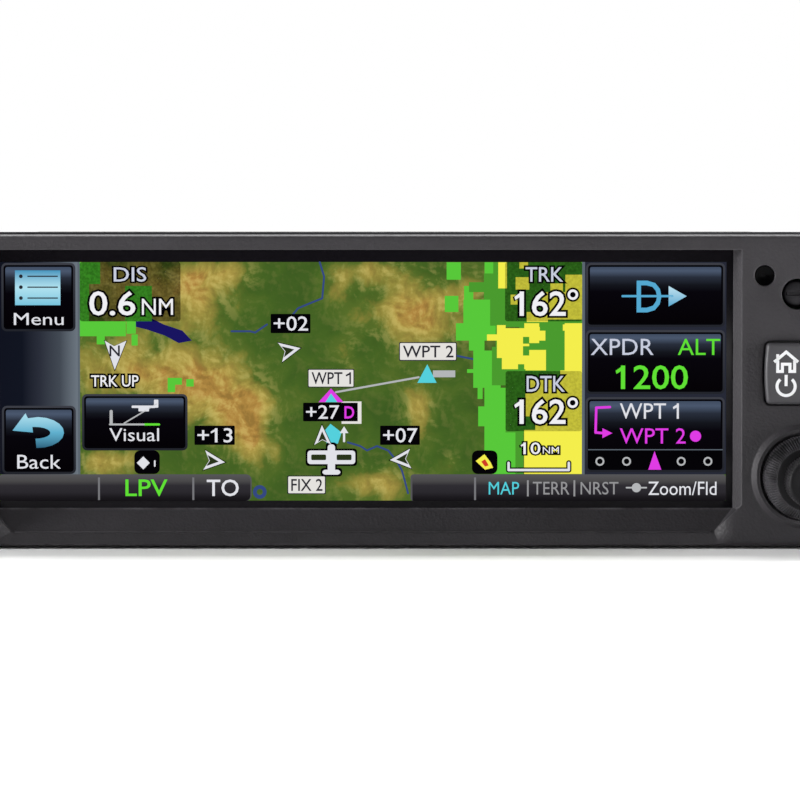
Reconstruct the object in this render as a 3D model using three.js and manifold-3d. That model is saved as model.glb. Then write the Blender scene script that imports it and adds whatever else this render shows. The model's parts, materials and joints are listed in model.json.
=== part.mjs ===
// A panel-mounted aviation GPS navigator: a wide touch display, a home key, a dual concentric knob
// and a memory card in the front bezel, and a sheet-metal chassis that slides into a radio rack.
// Millimetres, +X right as the pilot sees it, +Y from the front to the rear, +Z up from the base.
// While it is modelled y = 0 is the panel plane: the bezel is in front of it, the chassis behind.
import * as THREE from "three";
import { ConvexGeometry } from "three/addons/geometries/ConvexGeometry.js";
import { mergeVertices } from "three/addons/utils/BufferGeometryUtils.js";
import Module from "manifold-3d";

const wasm = await Module();
wasm.setup();

// ---------- driving dimensions ----------
const unitWidth = 158.75; // a 6.25 inch wide radio-stack unit
const unitHeight = 50.8; // 2 inches
const seat = 0.1; // left between parts that rest on each other
const slip = 0.3; // left round a part that moves or passes through an opening

// bezel and the cast frame behind it
const columnDepth = 11; // panel plane to the front of the two side columns
const frameThickness = 2.4;
const frameReveal = 0.4; // the frame's edge shows this much all round the bezel
const framePocket = 1.1; // the chassis's lugs sit this deep in the frame
const cornerRadius = 1.6;
const topFillet = 0.8;
const bottomFillet = 2.4;
const sideFillet = 1.4;
const columnFace = 2.4; // wall in front of the hollow columns
const sideWall = 2.2;
const topWall = 3;
const bottomWall = 4.2;
const rightColumn = 23.4;
const leftColumn = 13.9;
const screwBoss = 4; // solid corner round each bezel screw

// display recess
const recessDepth = 3; // front of the columns to the back of the lip over the glass
const recessDraft = 1.2; // the side walls lean out by this much
const topRim = 2.8; // bezel above the glass
const ledgeTop = 6.5; // height where the sloping ledge meets the glass
const ridgeHeight = 2.8; // height of the ledge's front ridge
const ridgeSetback = 1.2; // the ridge is this far behind the columns
const rampLength = 4.4; // it runs out to each column over this length
const cornerRise = 7.2; // height where the recess's lower corners start to turn

// display stack
const glassLip = 1; // glass hidden behind the bezel all round
const glassThickness = 1.1;
const gasketThickness = 0.4;
const gasketWidth = 1.6;
const lcdMargin = 0.6; // the LCD is this much smaller than the glass on each side
const lcdThickness = 1.8;
const backlightThickness = 1.6;
const boardThickness = 1.6;
const displayBoardSideInset = 7.5; // glass edge to the board's edge
const displayBoardEndInset = 4.5;

// dual knob, placed from the unit's right edge and its base
const knobFromRight = 13.45;
const knobHeight = 11.75;
const innerShaftRadius = 1.5;
const outerShaftWall = 1.25;
const shaftClearance = 0.15; // radial
const bushingWall = 0.55;
const bushingLength = 3.9;
const nutRim = 0.7;
const nutThickness = 1.6;
const encoderSize = 12;
const encoderDepth = 6;
const knobWall = 1.4;
const knobSideGap = 0.45; // outer knob to the well round it
const bossWall = 0.55;
const bossDraft = 0.7;
const bossRise = 1.2;
const wellDepth = 0.5; // below the front of the column
const outerKnobLength = 8.4;
const outerKnobCone = 3.4; // length of the tapered, knurled front
const knobFaceMargin = 1; // the outer knob's flat face round the inner knob
const innerKnobRadius = 4.1;
const innerKnobLength = 7.3;
const knobGap = 1.2; // between the two knobs, more than the push travel
const knobPush = 0.6;
const plungerThickness = 0.6;
const plungerRadius = 2.2;
const setScrewRadius = 0.8;

// home key
const keyFromRight = 16.5;
const keyHeight = 28.3;
const keyWidth = 6.1;
const keyTall = 9.8;
const keyBulge = 0.25; // its sides bow out by this much
const keyCorner = 0.8;
const keyStand = 1.9; // face in front of the column
const keyFlange = 0.8;
const keyFlangeThickness = 0.9;
const keyStem = 5.4; // panel plane to the key's rear end
const domeHeight = 1.9;

// light sensor and lock access, placed from the right edge and the top
const sensorFromRight = 19.8;
const sensorFromTop = 6.9;
const sensorHoleRadius = 1.65;
const lockFromRight = 14.6;
const lockFromTop = 9.85;
const lockHoleRadius = 2.45;
const controlBoardThickness = 1.2;

// memory card, a full-size card standing on edge, and its reader
const cardFromRight = 5.9;
const cardMiddle = 30.7;
const cardThickness = 2.1;
const cardWidth = 24;
const cardLength = 32;
const cardStand = 1;
const cardPushIn = 0.8;
const readerWall = 0.4;
const readerBoardGap = 0.15;

// rack lock: turning the screw draws the nut, which tips the pawl up through the cover
const lockShaftRadius = 1.2;
const lockHeadLength = 1.6;
const lockSocketRadius = 1.25;
const pivotBack = 34; // panel plane to the pawl's pivot
const pivotRise = 4.1; // lock screw's axis to the pawl's pivot
const pivotPinRadius = 1;
const pawlThickness = 4;
const pawlReach = 12;
const pawlHalfHeight = 1.7;
const nutLength = 4;
const bracketWall = 1.4;

// chassis
const chassisInset = 2.375; // frame edge to the chassis's side
const chassisBase = 1.8;
const chassisLength = 240;
const sheet = 1;
const panelGap = 0.3; // frame to chassis
const lipWidth = 6;
const rearPlateThickness = 2;
const screwRadius = 0.8;
const screwHeadRadius = 1.2;
const screwHeadHeight = 0.9;
const screwLength = 7.4;
const screwInset = 2.4; // corner screws, from the chassis's side
const screwRise = 2.6; // and from its base and top
const coverScrewInset = 20; // from the chassis's ends
const coverScrewLength = 4;
const screwSink = 0.8; // the cover screws' heads are sunk flush into the cover
const ventCount = 9;
const ventPitch = 12;
const ventWidth = 3;
const ventLength = 42;

// inside the chassis
const standoffHeight = 6;
const standoffRadius = 2.8;
const standoffInset = 10;
const boardMargin = 2.4;
const boardFront = 48;
const boardRearMargin = 12;
const shieldWall = 0.6;
const moduleGap = 36; // supply module to transmitter shield
const moduleRearGap = 19; // transmitter shield to the board's rear edge
const leadRadius = 1.1;
const ribbonWidth = 40;
const ribbonThickness = 0.4;

// rear plate
const finCount = 14;
const finThickness = 1.6;
const finDepth = 12;
const sinkWidth = 120;
const sinkHeight = 20;
const sinkBase = 3;
const sinkFromTop = 4;
const connectorRise = 11.5; // chassis's base to the middle of the connectors
const shroudDepth = 8;
const shroudWall = 0.9;
const shroudHeight = 10.4;
const shroudFlare = 2; // the shroud's ends lean in by this much
const mainConnectorWidth = 60;
const secondConnectorWidth = 40;
const connectorGap = 12; // between the two
const antennaFromSide = 9;
const antennaRadius = 4.8;
const antennaFlangeRadius = 6;
const antennaLength = 12;
const antennaBore = 3.3;

// ---------- derived places ----------
const right = unitWidth / 2;
const left = -right;
const frontY = -columnDepth;
const bezelBackY = -frameThickness - seat;
const bezelLow = frameReveal;
const bezelHigh = unitHeight - frameReveal;
const wallBackY = frontY + columnFace; // inner face of the columns' front wall
const webBackY = -framePocket; // the frame's web ends here, inside its pocket

const recessRight = right - rightColumn;
const recessLeft = left + leftColumn;
const recessMiddle = (recessRight + recessLeft) / 2;
const recessHalf = (recessRight - recessLeft) / 2;
const windowHalf = recessHalf - recessDraft;
const windowTop = unitHeight - topRim;
const lipY = frontY + recessDepth;
const ridgeY = frontY + ridgeSetback;

const glassHalf = windowHalf + glassLip;
const glassLow = ledgeTop - glassLip;
const glassHigh = windowTop + glassLip / 2;
const glassY = lipY + seat;
const gasketY = glassY + glassThickness + seat;
const lcdY = gasketY + gasketThickness + seat;
const backlightY = lcdY + lcdThickness + seat;
const displayBoardY = webBackY + slip;
const displayMiddleZ = (glassLow + glassHigh) / 2;
const displayBoardHalf = glassHalf - displayBoardSideInset;
const displayBoardHalfHeight = (glassHigh - glassLow) / 2 - displayBoardEndInset;

const knobX = right - knobFromRight;
const outerShaftRadius = innerShaftRadius + shaftClearance + outerShaftWall;
const bushingRadius = outerShaftRadius + shaftClearance + bushingWall;
const nutAcross = 2 * (bushingRadius + nutRim);
const knobPocketRadius = nutAcross / Math.sqrt(3) + slip;
const outerKnobRadius = knobPocketRadius + knobWall;
const outerKnobFaceRadius = innerKnobRadius + knobFaceMargin;
const wellRadius = outerKnobRadius + knobSideGap;
const bossTopRadius = wellRadius + bossWall;
const bossRadius = bossTopRadius + bossDraft;
const keyX = right - keyFromRight;
const sensorX = right - sensorFromRight;
const sensorZ = unitHeight - sensorFromTop;
const lockX = right - lockFromRight;
const lockZ = unitHeight - lockFromTop;
const lockHeadRadius = lockHoleRadius - slip;
const cardX = right - cardFromRight;
const readerHalf = cardThickness / 2 + slip + readerWall;

const pocketHalf = glassHalf + slip;
const partition = 1.2; // wall between the display pocket and each column
const columnInner = { right: recessMiddle + pocketHalf + partition,
  left: recessMiddle - pocketHalf - partition };
const columnOuter = right - frameReveal - sideWall;
const columnLow = bezelLow + bottomWall;
const columnHigh = bezelHigh - topWall;

const chassisHalf = right - chassisInset;
const chassisInnerHalf = chassisHalf - sheet;
const chassisTop = unitHeight - chassisBase;
const coverZ = chassisTop - sheet;
const sideTop = coverZ - seat;
const chassisY = panelGap;
const chassisEnd = chassisY + chassisLength;
const screwX = chassisHalf - screwInset;
const screwLow = chassisBase + screwRise;
const screwHigh = chassisTop - screwRise;
const bossInnerX = screwX - screwBoss / 2;
const bossLow = screwLow + screwBoss / 2 + slip;
const bossHigh = screwHigh - screwBoss / 2 - slip;

const controlBoardY = bezelBackY + seat;
const encoderY = controlBoardY - seat - encoderDepth;
const bushingY = encoderY - bushingLength;
const wellY = frontY + wellDepth;
const outerKnobBack = frontY - bossRise / 2;
const outerKnobFront = outerKnobBack - outerKnobLength;
const innerKnobBack = outerKnobFront - knobGap;
const innerKnobFront = innerKnobBack - innerKnobLength;
const switchY = controlBoardY - seat;
const switchThickness = 0.7;
const plungerBack = switchY - switchThickness - seat - knobPush;
const plungerY = plungerBack - plungerThickness;
const encoderPocketY = plungerY - knobPush - slip;

const boardLow = chassisBase + sheet + standoffHeight + 2 * seat;
const boardHigh = boardLow + boardThickness;
const boardEnd = chassisEnd - boardRearMargin;
const boardHalf = chassisInnerHalf - boardMargin;
const rearPlateY = chassisEnd + seat;
const rearFaceY = rearPlateY + rearPlateThickness;
const connectorZ = chassisBase + connectorRise;
const pivotZ = lockZ + pivotRise;

// ---------- shapes and solids ----------
const solidFrom = (geometry) => {
  const bare = geometry.clone();
  for (const name of Object.keys(bare.attributes)) if (name !== "position") bare.deleteAttribute(name);
  const merged = mergeVertices(bare, 1e-4);
  return new wasm.Manifold(
    new wasm.Mesh({
      numProp: 3,
      vertProperties: new Float32Array(merged.attributes.position.array),
      triVerts: new Uint32Array(merged.index.array),
    }),
  );
};

const geometryFrom = (solid) => {
  const mesh = solid.getMesh();
  return new THREE.BufferGeometry()
    .setAttribute("position", new THREE.BufferAttribute(mesh.vertProperties, mesh.numProp))
    .setIndex(new THREE.BufferAttribute(mesh.triVerts, 1));
};

const cut = (base, ...tools) =>
  geometryFrom(tools.reduce((solid, tool) => solid.subtract(solidFrom(tool)), solidFrom(base)));
const join = (base, ...more) =>
  geometryFrom(more.reduce((solid, piece) => solid.add(solidFrom(piece)), solidFrom(base)));
const common = (base, ...more) =>
  geometryFrom(more.reduce((solid, piece) => solid.intersect(solidFrom(piece)), solidFrom(base)));

// A box between two corners, given as low and high along each axis.
const block = (x0, x1, y0, y1, z0, z1) =>
  new THREE.BoxGeometry(x1 - x0, y1 - y0, z1 - z0).translate((x0 + x1) / 2, (y0 + y1) / 2, (z0 + z1) / 2);
// A box that reaches halfX and halfZ to each side of a point.
const plate = (x, z, halfX, halfZ, y0, y1) => block(x - halfX, x + halfX, y0, y1, z - halfZ, z + halfZ);

// Round bars along each axis.
const barX = (radius, x0, x1, y, z, sides = 20) =>
  new THREE.CylinderGeometry(radius, radius, x1 - x0, sides)
    .rotateZ(Math.PI / 2)
    .translate((x0 + x1) / 2, y, z);
const barY = (radius, y0, y1, x, z, sides = 24) =>
  new THREE.CylinderGeometry(radius, radius, y1 - y0, sides).translate(x, (y0 + y1) / 2, z);
const coneZ = (lowRadius, highRadius, z0, z1, x, y, sides = 16) =>
  new THREE.CylinderGeometry(highRadius, lowRadius, z1 - z0, sides)
    .rotateX(Math.PI / 2)
    .translate(x, y, (z0 + z1) / 2);
const barZ = (radius, z0, z1, x, y, sides = 16) => coneZ(radius, radius, z0, z1, x, y, sides);

// A turned part on an axis along Y: its profile is a list of [radius, y], from front to rear.
const turned = (profile, x, z, sides = 32) =>
  new THREE.LatheGeometry(profile.map(([radius, y]) => new THREE.Vector2(radius, y)), sides)
    .translate(x, 0, z);

// Flat shapes drawn in X-Z, Y-Z or X-Y, pushed along the third axis.
const extrude = (shape, depth, curveSegments) =>
  new THREE.ExtrudeGeometry(shape, { depth, bevelEnabled: false, curveSegments });
const alongY = (shape, y0, y1, curveSegments = 5) =>
  extrude(shape, y1 - y0, curveSegments).rotateX(Math.PI / 2).translate(0, y1, 0);
const sideways = new THREE.Matrix4().makeBasis(
  new THREE.Vector3(0, 1, 0),
  new THREE.Vector3(0, 0, 1),
  new THREE.Vector3(1, 0, 0),
);
const alongX = (shape, x0, x1, curveSegments = 5) =>
  extrude(shape, x1 - x0, curveSegments).applyMatrix4(sideways).translate(x0, 0, 0);
const alongZ = (shape, z0, z1, curveSegments = 5) =>
  extrude(shape, z1 - z0, curveSegments).translate(0, 0, z0);

const polygon = (points) => new THREE.Shape(points.map(([u, v]) => new THREE.Vector2(u, v)));

const roundedRectangle = (u0, u1, v0, v1, radius) => {
  const quarter = Math.PI / 2;
  return new THREE.Shape()
    .absarc(u1 - radius, v0 + radius, radius, -quarter, 0)
    .absarc(u1 - radius, v1 - radius, radius, 0, quarter)
    .absarc(u0 + radius, v1 - radius, radius, quarter, 2 * quarter)
    .absarc(u0 + radius, v0 + radius, radius, 2 * quarter, 3 * quarter);
};

// ---------- materials ----------
const finish = (color, roughness, metalness = 0) =>
  new THREE.MeshStandardMaterial({ color, roughness, metalness });
const bezelPaint = finish(0x353437, 0.55, 0.1);
const keyPlastic = finish(0x454447, 0.5);
const knobPlastic = finish(0x2a292c, 0.5);
const blackPlastic = finish(0x161518, 0.5);
const coverGlass = finish(0x0c0b0d, 0.08);
const rubber = finish(0x1c1b1e, 0.85);
const circuitBoard = finish(0x1f5a35, 0.5);
const platedSteel = finish(0xb9b6a8, 0.35, 0.9);
const brightSteel = finish(0xc4c6c8, 0.25, 1);
const aluminium = finish(0xc9cacb, 0.4, 0.9);
const blackAluminium = finish(0x232326, 0.45, 0.6);
const nickel = finish(0xcfcab8, 0.3, 0.95);
const tinPlate = finish(0xb5b7b9, 0.35, 0.9);

const unit = new THREE.Group();
const add = (name, geometry, material) => {
  const mesh = new THREE.Mesh(geometry, material);
  mesh.name = name;
  unit.add(mesh);
};

// ---------- front bezel ----------
// Each column is hollow from behind, and keeps solid corners for the bezel screws.
const columnHollow = (x0, x1, y0, y1) => {
  const outside = Math.abs(x0) > Math.abs(x1) ? x0 : x1;
  const inside = outside === x0 ? x1 : x0;
  const boss = Math.sign(outside) * bossInnerX;
  const wide = [Math.min(inside, boss), Math.max(inside, boss)];
  const deep = [Math.min(inside, outside), Math.max(inside, outside)];
  return join(
    block(...wide, y0, y1, columnLow, columnHigh),
    block(...deep, y0, y1, bossLow, bossHigh),
  );
};

// The recess in front of the glass: its side walls lean out, its floor is a sloping ledge that
// ends in a ridge, and its two lower corners are cut by flat facets.
const recessCutter = () => {
  const past = frontY - 1.5;
  const behind = lipY + 0.6;
  const reach = (from, to, y) => from.clone().lerp(to, (y - from.y) / (to.y - from.y));
  const points = [];
  for (const side of [-1, 1]) {
    const at = (half, y, z) => new THREE.Vector3(recessMiddle + side * half, y, z);
    const glassCorner = at(windowHalf, lipY, ledgeTop);
    const glassTop = at(windowHalf, lipY, windowTop);
    const ridgeEnd = at(recessHalf - rampLength, ridgeY, ridgeHeight);
    const wallFoot = at(recessHalf, frontY, cornerRise);
    const wallTop = at(recessHalf, frontY, windowTop);
    const ledgeSlope = (ledgeTop - ridgeHeight) / (ridgeY - lipY);
    const backTop = reach(glassTop, wallTop, behind);
    const backLow = backTop.clone().setZ(ledgeTop - ledgeSlope * (behind - lipY));
    points.push(glassCorner, glassTop, reach(glassCorner, ridgeEnd, past),
      reach(glassCorner, wallFoot, past));
    points.push(reach(glassTop, wallTop, past), backTop, backLow);
  }
  return new ConvexGeometry(points);
};

// Below the ridge the bezel's face steps back, and ramps out again to each column.
const ridgeCutter = () => {
  const past = frontY - 1.5;
  const innerHalf = recessHalf - rampLength;
  const outerHalf = innerHalf + (rampLength * (ridgeY - past)) / ridgeSetback;
  const outline = polygon([
    [recessMiddle - innerHalf, ridgeY],
    [recessMiddle + innerHalf, ridgeY],
    [recessMiddle + outerHalf, past],
    [recessMiddle - outerHalf, past],
  ]);
  return alongZ(outline, -1, ledgeTop);
};

// The key's outline: an upright rectangle whose long sides bow out.
const keyOutline = (grow) => {
  const w = keyWidth / 2 + grow;
  const h = keyTall / 2 + grow;
  const r = keyCorner + grow;
  const bow = w + keyBulge * 2;
  return new THREE.Shape()
    .moveTo(keyX - w + r, keyHeight - h)
    .lineTo(keyX + w - r, keyHeight - h)
    .quadraticCurveTo(keyX + w, keyHeight - h, keyX + w, keyHeight - h + r)
    .quadraticCurveTo(keyX + bow, keyHeight, keyX + w, keyHeight + h - r)
    .quadraticCurveTo(keyX + w, keyHeight + h, keyX + w - r, keyHeight + h)
    .lineTo(keyX - w + r, keyHeight + h)
    .quadraticCurveTo(keyX - w, keyHeight + h, keyX - w, keyHeight + h - r)
    .quadraticCurveTo(keyX - bow, keyHeight, keyX - w, keyHeight - h + r)
    .quadraticCurveTo(keyX - w, keyHeight - h, keyX - w + r, keyHeight - h);
};

const cornerScrews = [
  [-screwX, screwLow],
  [screwX, screwLow],
  [-screwX, screwHigh],
  [screwX, screwHigh],
];

const bezelBody = () => {
  const face = roundedRectangle(left + frameReveal, right - frameReveal, bezelLow, bezelHigh, cornerRadius);
  const quarter = Math.PI / 2;
  const section = new THREE.Shape()
    .moveTo(1, bezelLow - 1)
    .lineTo(frontY + bottomFillet, bezelLow - 1)
    .lineTo(frontY + bottomFillet, bezelLow)
    .absarc(frontY + bottomFillet, bezelLow + bottomFillet, bottomFillet, 3 * quarter, 2 * quarter, true)
    .absarc(frontY + topFillet, bezelHigh - topFillet, topFillet, 2 * quarter, quarter, true)
    .lineTo(frontY + topFillet, bezelHigh + 1)
    .lineTo(1, bezelHigh + 1);
  const outer = right - frameReveal;
  const plan = new THREE.Shape()
    .moveTo(-outer - 1, 1)
    .lineTo(-outer - 1, frontY + sideFillet)
    .lineTo(-outer, frontY + sideFillet)
    .absarc(-outer + sideFillet, frontY + sideFillet, sideFillet, 2 * quarter, 3 * quarter)
    .absarc(outer - sideFillet, frontY + sideFillet, sideFillet, -quarter, 0)
    .lineTo(outer + 1, frontY + sideFillet)
    .lineTo(outer + 1, 1);
  return common(
    alongY(face, frontY - 1, bezelBackY),
    alongX(section, left - 2, right + 2, 6),
    alongZ(plan, -2, unitHeight + 2, 3),
  );
};

const knobBoss = () =>
  turned([[0, frontY - bossRise], [bossTopRadius, frontY - bossRise], [bossRadius, frontY],
    [bossRadius, frontY + 1], [0, frontY + 1]], knobX, knobHeight, 48);

const displayPocket = block(
  recessMiddle - pocketHalf, recessMiddle + pocketHalf, lipY, 0, glassLow - slip, glassHigh + slip,
);
const cardOpening = (x0, y0, y1) =>
  block(x0, cardX + cardThickness / 2 + slip, y0, y1, cardMiddle - cardWidth / 2 - slip,
    cardMiddle + cardWidth / 2 + slip);

add("front_bezel", cut(
  join(cut(bezelBody(), recessCutter(), ridgeCutter()), knobBoss()),
  displayPocket,
  columnHollow(columnInner.right, columnOuter, wallBackY, 0),
  columnHollow(-columnOuter, columnInner.left, wallBackY, 0),
  barY(wellRadius, frontY - 2 * bossRise, wellY, knobX, knobHeight, 40),
  barY(bushingRadius + seat, frontY - 1, 0, knobX, knobHeight),
  barY(sensorHoleRadius, frontY - 1, 0, sensorX, sensorZ),
  barY(lockHoleRadius, frontY - 1, 0, lockX, lockZ, 32),
  alongY(keyOutline(slip), frontY - 1, 0, 4),
  cardOpening(cardX - cardThickness / 2 - slip, frontY - 1, 0),
  ...cornerScrews.map(([x, z]) => barY(screwRadius + seat, bezelBackY - screwLength, 0, x, z, 12)),
), bezelPaint);

// ---------- cast frame ----------
// A plate with windows for the display's cables and the controls. Its edge shows round the bezel.
const displayWindow = plate(recessMiddle, displayMiddleZ, displayBoardHalf + 1, displayBoardHalfHeight + 1,
  -frameThickness - 1, 1);
add("bezel_back_frame", cut(
  alongY(roundedRectangle(left, right, 0, unitHeight, cornerRadius + frameReveal), -frameThickness, 0),
  block(-chassisHalf - seat, chassisHalf + seat, webBackY, 1, chassisBase - seat, chassisTop + seat),
  displayWindow,
  columnHollow(columnInner.right, chassisInnerHalf - slip, -frameThickness - 1, 1),
  ...cornerScrews.map(([x, z]) => barY(screwRadius + seat, -frameThickness - 1, 1, x, z, 12)),
), blackAluminium);

cornerScrews.forEach(([x, z], i) => {
  const head = panelGap + sheet + seat;
  const tip = head - screwLength - frameThickness;
  const headEnd = head + screwHeadHeight;
  add(`bezel_screw_${i + 1}`, turned([[0, tip], [screwRadius, tip], [screwRadius, head],
    [screwHeadRadius, head], [screwHeadRadius, headEnd], [0, headEnd]], x, z, 12), platedSteel);
});

// ---------- display stack ----------
add("display_glass", block(recessMiddle - glassHalf, recessMiddle + glassHalf,
  glassY, glassY + glassThickness, glassLow, glassHigh), coverGlass);
const layer = (inset, y, thickness) =>
  block(recessMiddle - glassHalf + inset, recessMiddle + glassHalf - inset, y, y + thickness,
    glassLow + inset, glassHigh - inset);
add("glass_gasket", cut(layer(lcdMargin, gasketY, gasketThickness),
  layer(lcdMargin + gasketWidth, gasketY - 1, gasketThickness + 2)), rubber);
add("lcd_panel", layer(lcdMargin, lcdY, lcdThickness), blackPlastic);
add("backlight_tray", layer(lcdMargin, backlightY, backlightThickness), tinPlate);
add("display_board", plate(recessMiddle, displayMiddleZ, displayBoardHalf, displayBoardHalfHeight,
  displayBoardY, displayBoardY + boardThickness), circuitBoard);

// ---------- home key ----------
const keyFlangeY = wallBackY + slip;
add("home_power_key", join(
  alongY(keyOutline(0), frontY - keyStand, -keyStem, 4),
  alongY(keyOutline(keyFlange), keyFlangeY, keyFlangeY + keyFlangeThickness, 4),
), keyPlastic);
const domeBack = controlBoardY - seat;
const domeFront = domeBack - domeHeight;
add("key_dome_pad", turned([[0, domeFront], [keyWidth / 5, domeFront],
  [keyWidth / 3, domeFront + domeHeight / 2], [keyWidth / 2, domeBack - 0.4],
  [keyWidth / 2, domeBack], [0, domeBack]], keyX, keyHeight, 24), rubber);

// ---------- light sensor ----------
const sensorHeight = 1;
const sensorFront = domeBack - sensorHeight;
const windowRadius = sensorHoleRadius - seat;
const windowFlange = wallBackY + seat;
add("light_sensor_window", turned([[0, frontY + 0.4], [windowRadius, frontY + 0.4],
  [windowRadius, windowFlange], [windowRadius + 0.7, windowFlange],
  [windowRadius + 0.7, windowFlange + 0.8], [windowRadius / 2, windowFlange + 0.8],
  [windowRadius / 2, sensorFront - slip], [0, sensorFront - slip]], sensorX, sensorZ, 24), blackPlastic);
add("light_sensor", plate(sensorX, sensorZ, 1.1, 1.1, sensorFront, domeBack), blackPlastic);

add("control_board", cut(
  block(columnInner.right + slip, cardX - readerHalf - slip, controlBoardY,
    controlBoardY + controlBoardThickness, columnLow + slip, columnHigh - slip),
  barY(lockShaftRadius + slip, -frameThickness - 1, 1, lockX, lockZ),
), circuitBoard);

// ---------- dual knob ----------
// The outer knob turns on the encoder's bushing. The inner knob's shaft runs through the outer
// shaft, turns by itself, and pushes the plunger onto a switch.
const onKnobAxis = (profile, sides = 40) => turned(profile, knobX, knobHeight, sides);
add("encoder_body", cut(
  join(
    plate(knobX, knobHeight, encoderSize / 2, encoderSize / 2, encoderY, encoderY + encoderDepth),
    barY(bushingRadius, bushingY, encoderY + 1, knobX, knobHeight),
  ),
  barY(outerShaftRadius + shaftClearance, bushingY - 1, encoderPocketY, knobX, knobHeight),
  barY(plungerRadius + slip, encoderPocketY - 1, 0, knobX, knobHeight),
), platedSteel);
const nutBack = wellY - seat;
add("encoder_nut", cut(
  barY(nutAcross / Math.sqrt(3), nutBack - nutThickness, nutBack, knobX, knobHeight, 6),
  barY(bushingRadius + seat, nutBack - 2 * nutThickness, nutBack + 1, knobX, knobHeight),
), nickel);

const outerShaftFront = outerKnobFront + 2;
const outerShaftBore = innerShaftRadius + shaftClearance;
const outerShaftBack = encoderPocketY - seat;
add("outer_shaft", onKnobAxis([[outerShaftBore, outerShaftFront], [outerShaftRadius, outerShaftFront],
  [outerShaftRadius, outerShaftBack], [outerShaftBore, outerShaftBack],
  [outerShaftBore, outerShaftFront]], 24),
brightSteel);
const innerShaftFront = innerKnobFront + knobWall + seat;
add("inner_shaft", barY(innerShaftRadius, innerShaftFront, plungerY - seat, knobX, knobHeight, 20),
  brightSteel);

const knobPocketY = bushingY - slip;
const outerBore = outerShaftRadius + seat;
const frontHole = innerShaftRadius + slip;
const outerScrewY = outerKnobBack - 3;
add("outer_knob", cut(
  onKnobAxis([[frontHole, outerKnobFront], [outerKnobFaceRadius, outerKnobFront],
    [outerKnobRadius, outerKnobFront + outerKnobCone], [outerKnobRadius, outerKnobBack],
    [knobPocketRadius, outerKnobBack], [knobPocketRadius, knobPocketY], [outerBore, knobPocketY],
    [outerBore, outerShaftFront - seat], [frontHole, outerShaftFront - seat], [frontHole, outerKnobFront]]),
  barZ(setScrewRadius + seat, knobHeight - 2 * outerKnobRadius, knobHeight - innerShaftRadius, knobX,
    outerScrewY),
), knobPlastic);
add("outer_knob_set_screw", barZ(setScrewRadius, knobHeight - outerKnobRadius + slip, knobHeight - outerBore,
  knobX, outerScrewY, 12), brightSteel);

const innerBore = innerShaftRadius + seat;
const innerScrewY = innerKnobBack - 2;
add("inner_knob", cut(
  onKnobAxis([[0, innerKnobFront], [innerKnobRadius - 0.5, innerKnobFront],
    [innerKnobRadius, innerKnobFront + 0.5], [innerKnobRadius, innerKnobBack], [innerBore, innerKnobBack],
    [innerBore, innerShaftFront - seat], [0, innerShaftFront - seat]], 32),
  barZ(setScrewRadius + seat, knobHeight - 2 * innerKnobRadius, knobHeight - seat, knobX, innerScrewY),
), knobPlastic);
add("inner_knob_set_screw", barZ(setScrewRadius, knobHeight - innerKnobRadius + slip, knobHeight - innerBore,
  knobX, innerScrewY, 12), brightSteel);
add("push_plunger", barY(plungerRadius, plungerY, plungerBack, knobX, knobHeight, 20), blackPlastic);
add("push_switch", plate(knobX, knobHeight, 1.5, 1.5, switchY - switchThickness, switchY), tinPlate);

// ---------- memory card and reader ----------
const cardFront = frontY - cardStand;
const cardBack = cardFront + cardLength;
const cardLow = cardMiddle - cardWidth / 2;
const cardHigh = cardMiddle + cardWidth / 2;
const notch = 4;
add("memory_card", alongX(polygon([[cardFront, cardLow], [cardBack, cardLow], [cardBack, cardHigh - notch],
  [cardBack - notch, cardHigh], [cardFront, cardHigh]]), cardX - cardThickness / 2,
  cardX + cardThickness / 2),
blackPlastic);
const readerBack = cardBack + cardPushIn + slip + readerWall;
add("card_reader", cut(
  block(cardX - readerHalf, cardX + readerHalf, wallBackY + slip, readerBack, cardLow - slip - readerWall,
    cardHigh + slip + readerWall),
  block(cardX - readerHalf + readerWall, cardX + readerHalf - readerWall, frontY, readerBack - readerWall,
    cardLow - slip, cardHigh + slip),
), tinPlate);
const cardBoardX = cardX - readerHalf - readerBoardGap;
add("card_board", block(cardBoardX - boardThickness, cardBoardX, chassisY, readerBack, cardLow - 2,
  cardHigh + 2),
  circuitBoard);

// ---------- rack lock ----------
const lockHeadY = frontY + 1.2;
const bracketBack = pivotBack + 10;
const bracketHalf = pawlThickness / 2 + slip;
add("lock_screw", cut(
  turned([[0, lockHeadY], [lockHeadRadius, lockHeadY], [lockHeadRadius, lockHeadY + lockHeadLength],
    [lockShaftRadius, lockHeadY + lockHeadLength], [lockShaftRadius, bracketBack + 1], [0, bracketBack + 1]],
  lockX, lockZ, 24),
  barY(lockSocketRadius, lockHeadY - 1, lockHeadY + lockHeadLength * 0.7, lockX, lockZ, 6),
), brightSteel);

const nutFront = pivotBack + 2.5;
const pawlFoot = pawlHalfHeight + 0.25;
add("lock_nut", cut(
  block(lockX - pawlThickness / 2, lockX + pawlThickness / 2, nutFront, nutFront + nutLength,
    lockZ - 2 * lockShaftRadius, pivotZ - pawlFoot + 0.4),
  barY(lockShaftRadius + seat, nutFront - 1, nutFront + nutLength + 1, lockX, lockZ),
), nickel);

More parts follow.
